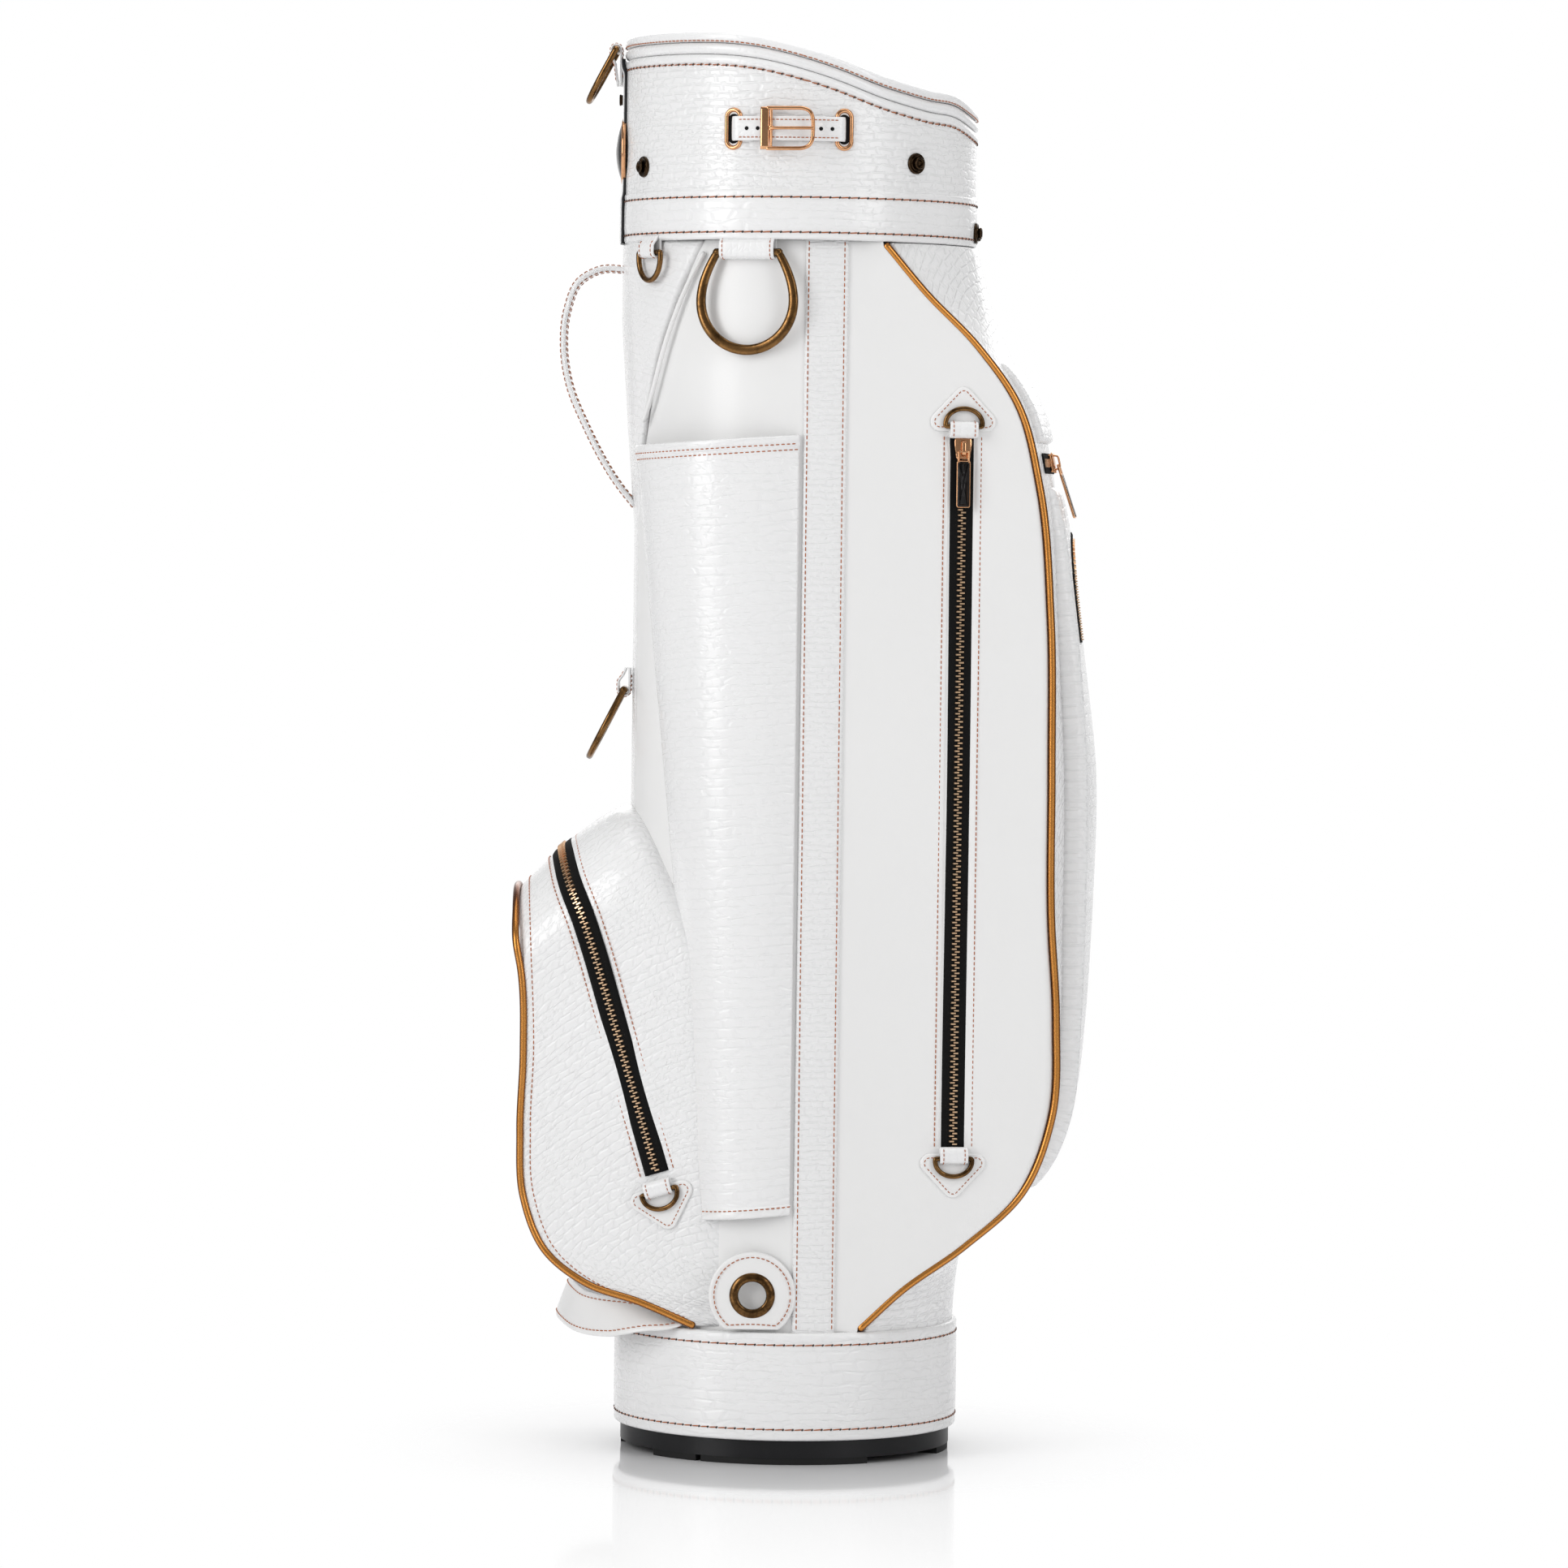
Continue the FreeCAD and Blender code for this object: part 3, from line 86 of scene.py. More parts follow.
def croc_group():
    """Height rises from creases to domed scales. Two sizes of cell, in rows whose places shift by half a cell,
    are blended by a slow noise, and fine wrinkles run over both."""
    start = [("Vector", None), ("Randomness", 0.4), ("Small", 0.5)]
    group, given, out = new_group("croc_scales", start, ["Height", "Crease"])
    warp = add(group, "TexNoise", [("Vector", given["Vector"]), ("Scale", 0.35), ("Detail", 1.0)])
    pull = vector_node(group, "SUBTRACT", warp.outputs["Color"], (0.5, 0.5, 0.5))
    place = vector_node(group, "ADD", given["Vector"], vector_node(group, "SCALE", pull, 0.9, "Scale"))
    parts = []
    for scale in ((1.0, 1.0, 1.0), (1.9, 1.45, 1.0)):
        axes = add(group, "SeparateXYZ", [(0, vector_node(group, "MULTIPLY", place, scale))])
        row = math_node(group, "MODULO", math_node(group, "FLOOR", axes.outputs["Y"]), 2.0)
        across = math_node(group, "ADD", axes.outputs["X"], math_node(group, "MULTIPLY", row, 0.5))
        shifted = add(group, "CombineXYZ", [(0, across), (1, axes.outputs["Y"])]).outputs[0]
        rough = [("Vector", shifted), ("Scale", 1.0), ("Randomness", given["Randomness"])]
        cells = add(group, "TexVoronoi", rough, voronoi_dimensions="2D", feature="DISTANCE_TO_EDGE")
        parts.append(cells.outputs["Distance"])
    patch = add(group, "TexNoise", [("Vector", given["Vector"]), ("Scale", 0.11), ("Detail", 1.0)])
    ease = add(group, "MapRange", [(0, patch.outputs["Fac"]), (1, 0.42), (2, 0.6)], interpolation_type="SMOOTHSTEP")
    share = math_node(group, "MULTIPLY", ease.outputs[0], given["Small"])
    mixed = add(group, "Mix", [("Factor", share), ("A", parts[0]), ("B", parts[1])]).outputs[0]
    dome = add(group, "MapRange", [(0, mixed), (1, 0.0), (2, 0.22)], interpolation_type="SMOOTHERSTEP")
    crease = add(group, "MapRange", [(0, mixed), (1, 0.01), (2, 0.07), (3, 1.0), (4, 0.0)])
    fine = add(group, "TexNoise", [("Vector", place), ("Scale", 5.0), ("Detail", 4.0), ("Roughness", 0.6)])
    wrinkle = math_node(group, "MULTIPLY", fine.outputs["Fac"], 0.3)
    group.links.new(math_node(group, "ADD", dome.outputs[0], wrinkle), out["Height"])
    group.links.new(crease.outputs[0], out["Crease"])
    return group


def grain_group():
    """Fine leather grain: small rounded cells and a softer swell."""
    group, given, out = new_group("leather_grain", [("Vector", None), ("Scale", 1.0)], ["Height"])
    cells = add(group, "TexVoronoi", [("Vector", given["Vector"]), ("Scale", given["Scale"])], feature="SMOOTH_F1")
    swell = add(group, "TexNoise", [("Vector", given["Vector"]), ("Scale", given["Scale"]), ("Detail", 3.0)])
    part = math_node(group, "MULTIPLY", cells.outputs["Distance"], 0.6)
    group.links.new(math_node(group, "ADD", part, swell.outputs["Fac"]), out["Height"])
    return group


CROC, GRAIN = croc_group(), grain_group()


def new_material(name):
    made = bpy.data.materials.new(name)
    made.use_nodes = True
    tree = made.node_tree
    return made, tree, tree.nodes["Principled BSDF"]


def blend(tree, factor, a, b):
    """A colour between a and b, each a socket or three numbers."""
    mix = add(tree, "Mix", [("Factor", factor)], data_type="RGBA")
    for key, colour in (("A", a), ("B", b)):
        if isinstance(colour, tuple):
            mix.inputs[key].default_value = (*colour, 1)
        else:
            tree.links.new(colour, mix.inputs[key])
    return mix.outputs["Result"]


def soft_tint(tree, place, light, dark, scale=6.0):
    """A colour that wanders between two close shades over a hand's width."""
    noise = add(tree, "TexNoise", [("Vector", place), ("Scale", scale), ("Detail", 3.0)])
    return blend(tree, noise.outputs["Fac"], light, dark)


def drive(tree, shader, **sockets):
    """Links sockets to the shader's inputs; an underscore stands for a space."""
    for key, socket in sockets.items():
        tree.links.new(socket, shader.inputs[key.replace("_", " ")])


def bumps(tree, shader, height, strength, distance):
    relief = add(tree, "Bump", [("Height", height), ("Strength", strength), ("Distance", distance)])
    drive(tree, shader, Normal=relief.outputs[0])


def grain_height(tree, place, scale):
    """The leather grain group's height at a scale."""
    grain = add(tree, "Group", node_tree=GRAIN)
    tree.links.new(place, grain.inputs["Vector"])
    grain.inputs["Scale"].default_value = scale
    return grain.outputs["Height"]


def croc_leather(name, width, height, randomness=0.4, depth=0.2, small=0.6, light=(0.87, 0.87, 0.87)):
    """White croc leather whose scales are about width by height millimetres."""
    made, tree, shader = new_material(name)
    place = add(tree, "TexCoord").outputs["UV"]
    per_cell = add(tree, "Mapping", [("Vector", place), ("Scale", (1000 / width, 1000 / height, 1))]).outputs[0]
    scales = add(tree, "Group", node_tree=CROC)
    tree.links.new(per_cell, scales.inputs["Vector"])
    scales.inputs["Small"].default_value, scales.inputs["Randomness"].default_value = small, randomness
    grain = grain_height(tree, place, 900.0)
    tint = soft_tint(tree, place, light, tuple(0.965 * c for c in light))
    crease = scales.outputs["Crease"]
    # The colour is a little darker in the creases between the scales: painted shade, the creases' shadow laid into the
    # leather's colour.
    shade = (light[0] * 0.86, light[1] * 0.86, light[2] * 0.87)
    gloss = add(tree, "MapRange", [(0, crease), (3, 0.24), (4, 0.4)]).outputs[0]
    drive(tree, shader, Base_Color=blend(tree, math_node(tree, "MULTIPLY", crease, 0.3), tint, shade), Roughness=gloss)
    relief = math_node(tree, "ADD", scales.outputs["Height"], math_node(tree, "MULTIPLY", grain, 0.06))
    bumps(tree, shader, relief, 1.0, depth * MM)
    shader.inputs["IOR"].default_value = 1.5
    shader.inputs["Coat Weight"].default_value = 0.25
    shader.inputs["Coat Roughness"].default_value = 0.16
    return made


# ---- base band --------------------------------------------------------------------------------------
# A broad band of croc leather wrapped round the foot of the tube over the black cup. Both its edges are
# turned in and stitched with heavy brown thread.
TURN = 2 * math.pi


def spaced(low, high, step, edge=2.0):
    """Stations from low to high about step apart, with a few more close to both ends for a rolled edge."""
    near = edge * np.array([0, 0.06, 0.22, 0.5, 1.0])
    count = max(2, int(round((high - low - 2 * edge) / step)) + 1)
    return np.concatenate([low + near, np.linspace(low + edge, high - edge, count)[1:-1], (high - near)[::-1]])


def on_tube(r, angle, z):
    """Points at radius r and height z, at an angle from -Y towards +X."""
    return grid_of(r * np.sin(angle), -r * np.cos(angle), z)


def run_length(grid, axis=0):
    """Distance along each grid line, or along one line, starting at 0."""
    steps = np.linalg.norm(np.diff(grid, axis=axis), axis=-1)
    start = np.zeros_like(np.take(steps, [0], axis=axis))
    return np.concatenate([start, np.cumsum(steps, axis=axis)], axis=axis)


def unit(vectors):
    return vectors / np.linalg.norm(vectors, axis=-1, keepdims=True)


def sample(at, along, values):
    """Values at distances at, between the distances along that they are known at."""
    return np.stack([np.interp(at, along, values[:, k]) for k in range(3)], axis=1)


def grid_of(x, y, z):
    return np.stack(np.broadcast_arrays(x, y, z), axis=-1)


def facing(grid, inside=None):
    """Unit normals of a grid, pointing away from the tube's axis or from a point inside."""
    normal = np.cross(np.gradient(grid, axis=0), np.gradient(grid, axis=1))
    normal /= np.maximum(np.linalg.norm(normal, axis=-1, keepdims=True), 1e-9)
    away = grid - (np.array([0, 0, 1]) * grid if inside is None else np.array(inside))
    return normal if np.sum(normal * away) > 0 else -normal


def rolled(distance, edge):
    """Height share of a rolled edge: a quarter circle over the first edge millimetres."""
    t = np.clip(distance / edge, 0, 1)
    return np.sqrt(np.clip(1 - (1 - t) ** 2, 0, 1))


def quads_of(rows, columns, start=0):
    """Faces of a grid of rows by columns points."""
    at = np.arange(rows * columns).reshape(rows, columns) + start
    return np.stack([at[:-1, :-1], at[1:, :-1], at[1:, 1:], at[:-1, 1:]], axis=-1).reshape(-1, 4)


def new_piece(name, points, faces, uv, material, slot="croc_leather", body="bag", hides=(), smooth=True, far=False):
    """Makes an object from points in millimetres and faces of four. far mirrors it to the far side."""
    points, faces = np.asarray(points, float).reshape(-1, 3), np.asarray(faces)
    uv = np.asarray(uv, float).reshape(-1, 2)
    if far:
        points, faces = points * (1, -1, 1), faces[:, ::-1]
    mesh = bpy.data.meshes.new(name)
    mesh.vertices.add(len(points))
    mesh.vertices.foreach_set("co", (points * MM).ravel())
    mesh.loops.add(faces.size)
    mesh.loops.foreach_set("vertex_index", faces.ravel())
    mesh.polygons.add(len(faces))
    mesh.polygons.foreach_set("loop_start", np.arange(0, faces.size, 4))
    mesh.update(calc_edges=True)
    layer = mesh.uv_layers.new(name="measure")
    layer.data.foreach_set("uv", (uv[faces.ravel()] * MM).ravel())
    mesh.polygons.foreach_set("use_smooth", np.full(len(faces), smooth))
    mesh.validate()
    made = bpy.data.objects.new(name, mesh)
    bpy.context.scene.collection.objects.link(made)
    made.data.materials.append(material)
    merge_doubles(mesh)
    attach(made, body)
    if hides:
        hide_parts(*hides)
    return made


def merge_doubles(mesh):
    """Joins points that share a place, so that seams and poles are closed, and faces all point out."""
    import bmesh
    work = bmesh.new()
    work.from_mesh(mesh)
    bmesh.ops.remove_doubles(work, verts=work.verts, dist=2e-6)
    bmesh.ops.dissolve_degenerate(work, edges=work.edges, dist=1e-7)
    bmesh.ops.recalc_face_normals(work, faces=work.faces)
    work.to_mesh(mesh)
    work.free()


def leather(name, outside, thick, material, edge=2.0, roll=(1, 1, 1, 1), lift=0.0, inside=None, ring=False, **kinds):
    """A sheet of leather. Its face is the outside grid, lowered to the back over the rolled edges, plus lift.
    roll says which of the edges (first row, last row, first column, last column) are rolled; a ring meets itself."""
    along, across = run_length(outside, 0), run_length(outside, 1)
    share = np.ones(outside.shape[:2])
    for wanted, distance in zip(roll, (along, along[-1] - along, across, across[:, -1:] - across)):
        if wanted:
            share = np.minimum(share, rolled(distance, edge))
    normal = facing(outside, inside)
    thick = np.broadcast_to(thick, share.shape)
    back = outside - normal * thick[..., None]
    front = back + normal * ((thick + lift) * share)[..., None]
    rows, columns = outside.shape[:2]
    uv = np.stack([along, across], axis=-1)
    faces = [quads_of(rows, columns), quads_of(rows, columns, rows * columns)[:, ::-1]]
    if not ring and not all(roll):
        faces.append(skirt(rows, columns))
    points = np.concatenate([front.reshape(-1, 3), back.reshape(-1, 3)])
    return new_piece(name, points, np.concatenate(faces), np.concatenate([uv.reshape(-1, 2)] * 2), material, **kinds)


def skirt(rows, columns):
    """Faces that join the front grid's border to the back grid's."""
    at = np.arange(rows * columns).reshape(rows, columns)
    ring = np.concatenate([at[0, :-1], at[:-1, -1], at[-1, :0:-1], at[:0:-1, 0]])
    after, back = np.roll(ring, -1), rows * columns
    return np.stack([ring, ring + back, after + back, after], axis=-1)


def thread(name, rows, material, pitch, length, radius, lean=0.0, body="bag", far=False):
    """Stitches along paths. Each is a six-sided capsule that dips into the leather at both ends.
    rows lists (path, normals) pairs of arrays; lean turns each stitch in the leather, in radians."""
    along = np.array([-0.5, -0.42, -0.2, 0.2, 0.42, 0.5])
    fat = np.array([0.15, 0.8, 1.0, 1.0, 0.8, 0.15])
    rise = np.array([-0.9, -0.1, 0.35, 0.35, -0.1, -0.9])
    turn = np.arange(6) * TURN / 6
    points, faces, count = [], [], 0
    for path, normal in rows:
        path, normal = np.asarray(path, float), np.asarray(normal, float)
        far_along = run_length(path)
        at = np.arange(pitch / 2, far_along[-1], pitch)
        place = sample(at, far_along, path)
        up = unit(sample(at, far_along, normal))
        step = np.gradient(path, axis=0)
        ahead = sample(at, far_along, step)
        ahead -= up * np.sum(ahead * up, axis=1, keepdims=True)
        ahead = unit(ahead)
        side = np.cross(up, ahead)
        ahead, side = ahead * math.cos(lean) + side * math.sin(lean), side * math.cos(lean) - ahead * math.sin(lean)
        middle = place[:, None] + ahead[:, None] * (along * length)[:, None] + up[:, None] * (rise * radius)[:, None]
        spoke = side[:, None] * np.cos(turn)[:, None] + up[:, None] * np.sin(turn)[:, None]
        body_points = middle[:, :, None] + spoke[:, None] * (fat * radius)[:, None, None]
        total = len(place)
        base = count + np.arange(total)[:, None, None] * 36
        ring = (np.arange(5)[:, None] * 6 + np.arange(6)[None])[None] + base
        ahead_ring = (np.arange(5)[:, None] * 6 + (np.arange(6)[None] + 1) % 6)[None] + base
        faces.append(np.stack([ring, ahead_ring, ahead_ring + 6, ring + 6], axis=-1).reshape(-1, 4))
        ends = [np.array([[0, 5, 4, 3], [0, 3, 2, 1]]), np.array([[30, 31, 32, 33], [30, 33, 34, 35]])]
        faces += [(end[None] + base.reshape(-1, 1, 1)).reshape(-1, 4) for end in ends]
        points.append(body_points.reshape(-1, 3))
        count += total * 36
    points = np.concatenate(points)
    kinds = dict(slot="croc_leather", body=body, far=far)
    return new_piece(name, points, np.concatenate(faces), points[:, [0, 2]], material, **kinds)


def thread_material(name, colour, dark):
    """Waxed thread: a twisted yarn with a slow change of shade."""
    made, tree, shader = new_material(name)
    place = add(tree, "TexCoord").outputs["Object"]
    drive(tree, shader, Base_Color=soft_tint(tree, place, colour, dark, 90.0))
    waves = [("Vector", place), ("Scale", 900.0), ("Distortion", 3.0)]
    bumps(tree, shader, add(tree, "TexWave", waves, bands_direction="DIAGONAL").outputs["Fac"], 0.6, 0.0002)
    shader.inputs["Roughness"].default_value = 0.45
    shader.inputs["Sheen Weight"].default_value = 0.2
    return made


def groove(z, lines, depth=0.45, width=2.2):
    """How far heavy stitching pulls the leather in near each line."""
    return -depth * sum(np.exp(-(((z - line) / width) ** 2)) for line in lines)


broad_croc = croc_leather("croc_broad", 15.0, 6.2, 0.55)
heavy_thread = thread_material("thread_brown", (0.5, 0.14, 0.028), (0.32, 0.085, 0.016))
# A near-black thread for the short capsules where heavy stitches enter the leather: painted shade of the stitch holes.
stitch_shade_thread = thread_material("thread_stitch_shade", (0.035, 0.013, 0.006), (0.02, 0.008, 0.004))
fine_thread = thread_material("thread_copper", (0.52, 0.15, 0.032), (0.38, 0.1, 0.02))

band_low, band_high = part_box("base_band")
band_r, band_z = band_high[0] / MM, (band_low[2] / MM, band_high[2] / MM)
BAND_STITCH = (band_z[0] + 7.3, band_z[1] - 7.5)
angle = np.linspace(0, TURN, 181)[:, None] - math.pi / 2
z = spaced(*band_z, 3.2, 1.8)[None, :]
swell = 0.35 * np.sin(math.pi * (z - band_z[0]) / (band_z[1] - band_z[0])) + groove(z, BAND_STITCH)
swell = swell + 0.12 * np.sin(37 * angle) * np.exp(-(((z - BAND_STITCH[1]) / 9) ** 2))
leather("base_band_leather", on_tube(band_r + swell, angle, z), 3.4, broad_croc, 1.8, (0, 0, 1, 1),
        ring=True, hides=["base_band"])


def tube_row(r, z, low=-math.pi / 2, high=1.5 * math.pi, count=720):
    """A path round the tube and its outward normals."""
    turn = np.linspace(low, high, count)
    return on_tube(r, turn, z), on_tube(1.0, turn, 0.0)


HEAVY = 6.0     # length of a heavy stitch


def heavy_row(name, rows):
    """Long thin stitches laid end to end, with a short near-black capsule where each goes through the leather: painted
    shade of the stitch hole.
    """
    thread(name, rows, heavy_thread, HEAVY, HEAVY * 0.97, 0.42, 0.07)
    # Short dark capsules at each stitch's ends: painted shade where the thread dives into its hole.
    stitch_shades = [(path[9:], normal[9:]) for path, normal in rows]
    thread(name + "_stitch_shades", stitch_shades, stitch_shade_thread, HEAVY, 1.7, 0.62, 0.6)


heavy_row("base_band_stitching", [tube_row(band_r - 0.3, line) for line in BAND_STITCH])

# ---- base cup and feet ------------------------------------------------------------------------------
# The bag stands on a moulded black cup with a fine spark texture, and on six rubber feet under it.
# Both are carried over from the design as they are.


def finish_node(material, *nodes):
    """Gives CAD nodes their material."""
    for node in nodes:
        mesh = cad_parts[node].data
        mesh.materials.clear()
        mesh.materials.append(material)


def moulded(name, colour, rough, grain=700.0, depth=0.05):
    """Moulded plastic or rubber: fine spark texture and a slight change of gloss."""
    made, tree, shader = new_material(name)
    place = add(tree, "TexCoord").outputs["Object"]
    patchy = add(tree, "TexNoise", [("Vector", place), ("Scale", 30.0), ("Detail", 4.0)])
    gloss = add(tree, "MapRange", [(0, patchy.outputs["Fac"]), (3, rough - 0.06), (4, rough + 0.1)]).outputs[0]
    tint = soft_tint(tree, place, colour, tuple(1.35 * c for c in colour), 25.0)
    drive(tree, shader, Base_Color=tint, Roughness=gloss)
    bumps(tree, shader, grain_height(tree, place, grain), 0.5, depth * MM)
    shader.inputs["Specular IOR Level"].default_value = 0.3
    return made


black_plastic = moulded("plastic_black", (0.006, 0.006, 0.007), 0.35)
black_rubber = moulded("rubber_black", (0.008, 0.008, 0.008), 0.62, 400.0, 0.12)
grey_board = moulded("board_grey", (0.12, 0.115, 0.11), 0.7, 500.0, 0.1)
finish_node(black_plastic, "base_cup", "divider_top", "cuff_frame")
finish_node(black_rubber, "rubber_feet")
finish_node(grey_board, "liner_tube")

# ---- stays, lining and dividers ---------------------------------------------------------------------
# Steel stays stand inside the tube. A padded black cloth lines the mouth, and cloth walls hang from the
# moulded top and part the clubs.


def worn_group():
    """Plating polished in some spots and dull and dark in others: two sizes of noise, joined."""
    group, given, out = new_group("worn_metal", [("Vector", None), ("Scale", 60.0), ("Amount", 0.5)], ["Dark", "Rough"])
    broad = add(group, "TexNoise", [("Vector", given["Vector"]), ("Scale", given["Scale"]), ("Detail", 4.0)])
    close = math_node(group, "MULTIPLY", given["Scale"], 9.0)
    fine = add(group, "TexNoise", [("Vector", given["Vector"]), ("Scale", close), ("Detail", 2.0)])
    both = math_node(group, "ADD", math_node(group, "MULTIPLY", broad.outputs["Fac"], 0.7),
                     math_node(group, "MULTIPLY", fine.outputs["Fac"], 0.3))
    spots = add(group, "MapRange", [(0, both), (1, 0.42), (2, 0.66)], interpolation_type="SMOOTHSTEP")
    group.links.new(math_node(group, "MULTIPLY", spots.outputs[0], given["Amount"], True), out["Dark"])
    group.links.new(both, out["Rough"])
    return group


WORN = worn_group()


def metal(name, bright, dark, rough, amount=0.5, scale=60.0):
    """A plated metal whose plating darkens in spots."""
    made, tree, shader = new_material(name)
    place = add(tree, "TexCoord").outputs["Object"]
    worn = add(tree, "Group", node_tree=WORN)
    tree.links.new(place, worn.inputs["Vector"])
    worn.inputs["Scale"].default_value, worn.inputs["Amount"].default_value = scale, amount
    steps = [(0, worn.outputs["Rough"]), (1, 0.3), (2, 0.7), (3, rough * 0.7), (4, rough * 1.5)]
    drive(tree, shader, Base_Color=blend(tree, worn.outputs["Dark"], bright, dark),
          Roughness=add(tree, "MapRange", steps).outputs[0])
    bumps(tree, shader, worn.outputs["Rough"], 0.12, 0.0003)
    shader.inputs["Metallic"].default_value = 1.0
    return made


def woven(name, colour, across, along, depth=0.15):
    """Plain-woven cloth on its own measure: warp and weft waves, and lint that changes its shade."""
    made, tree, shader = new_material(name)
    place = add(tree, "TexCoord").outputs["UV"]
    warp = add(tree, "TexWave", [("Vector", place), ("Scale", across)], bands_direction="X")
    weft = add(tree, "TexWave", [("Vector", place), ("Scale", along)], bands_direction="Y")
    cloth = math_node(tree, "MAXIMUM", warp.outputs["Fac"], weft.outputs["Fac"])
    bumps(tree, shader, cloth, 0.8, depth * MM)
    drive(tree, shader, Base_Color=soft_tint(tree, place, colour, tuple(1.8 * c for c in colour), 160.0))
    shader.inputs["Roughness"].default_value = 0.85
    shader.inputs["Specular IOR Level"].default_value = 0.15
    shader.inputs["Sheen Weight"].default_value = 0.02
    return made


steel = metal("steel_stay", (0.62, 0.62, 0.64), (0.3, 0.3, 0.31), 0.3)
cloth = woven("cloth_black", (0.006, 0.006, 0.0065), 160.0, 160.0)
finish_node(steel, "stay_rods")

low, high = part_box("divider_sheets")
SHEET_Z, SHEET_R, BAR_X = (low[2] / MM, high[2] / MM), high[0] / MM, 31.0


def divider(name, ends, across_at, along_x):
    """A hanging cloth wall: a plane that sways by a sine of its height and length."""
    s = np.linspace(*ends, 60)[:, None]
    z = np.linspace(SHEET_Z[0] + 1, SHEET_Z[1], 120)[None, :]
    hang_free = (SHEET_Z[1] - z) / (SHEET_Z[1] - SHEET_Z[0])
    sway = across_at + 1.3 * hang_free * np.sin(s / 17.0 + across_at) * np.sin(z / 55.0)
    x, y = (s + 0 * z, sway) if along_x else (sway, s + 0 * z)
    grid = grid_of(x, y, z)
    return leather(name, grid, 0.9, cloth, 0.9, inside=(900, 900, 400), slot="black_fabric")


long_end = SHEET_R - 2.0
side_end = math.sqrt(long_end**2 - BAR_X**2)
walls = [divider("divider_wall_long", (-long_end, long_end), 0.0, True)]
walls += [divider(f"divider_wall_{k}", (-side_end, side_end), s * BAR_X, False) for k, s in enumerate((-1, 1))]
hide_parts("divider_sheets")

# ---- the rim's wave and the lining -------------------------------------------------------------------
# The mouth is level at the spine and falls in one soft wave towards the apparel pocket. The cloth lining
# inside it is padded.
RIM_HIGH, RIM_SLOPE, RIM_BEND_X, RIM_SOFT, RIM_ROLL = 881.3, 0.31, -30.0, 15.0, 7.0
RIM_WAVES = ((-1.8, 50.0, 22.0), (3.4, 95.0, 12.0))
MOUTH = np.linspace(0, TURN, 241)[:, None] - math.pi / 2


def rim_z(x):
    """Height of the rim at x: level, then a slope after a soft bend, with a dip and a crest on it."""
    slope = RIM_SLOPE * RIM_SOFT * np.log1p(np.exp((x - RIM_BEND_X) / RIM_SOFT))
    return RIM_HIGH - slope + sum(h * np.exp(-(((x - at) / reach) ** 2)) for h, at, reach in RIM_WAVES)


def up_to_rim(r, low, drop, step=4.0, edge=2.0):
    """A grid round the cuff from a level foot up to the wave, less a drop."""
    share = spaced(0, 70, step, edge)[None, :] / 70
    x = r * np.sin(MOUTH)
    return on_tube(r, MOUTH, low + share * (rim_z(x) - drop - low))


lining_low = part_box("cuff_lining")[0][2] / MM
leather("cuff_lining_cloth", up_to_rim(97.6, lining_low, RIM_ROLL + 0.3), 2.2, cloth, 1.2, (0, 0, 1, 1), ring=True,
        slot="black_fabric", hides=["cuff_lining"])

# ---- cuff -------------------------------------------------------------------------------------------
# The cuff is croc leather stretched over a moulded ring. A stitched belt of the same leather closes its
# foot, and two welts and a turned binding, each a leather roll, run round its wavy rim.
belt_low, belt_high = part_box("cuff_belt")
BELT_R, BELT_Z = belt_high[0] / MM, (belt_low[2] / MM, belt_high[2] / MM)
BELT_STITCH = (BELT_Z[0] + 4.6, BELT_Z[1] - 5.0)
COVER_R = 109.8

cuff_croc = croc_leather("croc_cuff", 11.0, 4.8, 0.4, 0.36)
roll_croc = croc_leather("croc_roll", 9.0, 7.0, 0.8, 0.12)

z = spaced(*BELT_Z, 2.6, 1.8)[None, :]
swell = groove(z, BELT_STITCH) + 0.1 * np.sin(41 * MOUTH) * np.exp(-(((z - BELT_STITCH[1]) / 8) ** 2))
leather("cuff_belt_leather", on_tube(BELT_R + swell, MOUTH, z), 3.0, broad_croc, 1.8, (0, 0, 1, 1), ring=True,
        hides=["cuff_belt"])
heavy_row("cuff_belt_stitching", [tube_row(BELT_R - 0.3, line) for line in BELT_STITCH])

cover = up_to_rim(COVER_R, BELT_Z[1] - 2.0, 3 * RIM_ROLL - 1.0, 3.5)
leather("cuff_cover_leather", cover, 3.0, cuff_croc, 1.5, (0, 0, 0, 0), ring=True, hides=["cuff_cover"])


def fine_row(name, rows):
    thread(name, rows, fine_thread, 3.4, 2.6, 0.34)


def rim_roll(name, r_mid, r_half, drop, half, section=16, flat=2.0, **kinds):
    """A leather roll along the wave: a rounded section (superellipse) carried round the tube."""
    turn = np.linspace(0, TURN, section + 1)[None, :]
    c, s = np.cos(turn), np.sin(turn)
    r = r_mid + r_half * np.sign(c) * np.abs(c) ** (2 / flat)
    up = half * np.sign(s) * np.abs(s) ** (2 / flat)
    x = r * np.sin(MOUTH)
    grid = on_tube(r, MOUTH, rim_z(x) - drop + up)
    uv = np.stack(np.broadcast_arrays(MOUTH * r_mid, turn * max(r_half, half)), axis=-1)
    return new_piece(name, grid.reshape(-1, 3), quads_of(*grid.shape[:2]), uv, roll_croc, **kinds)


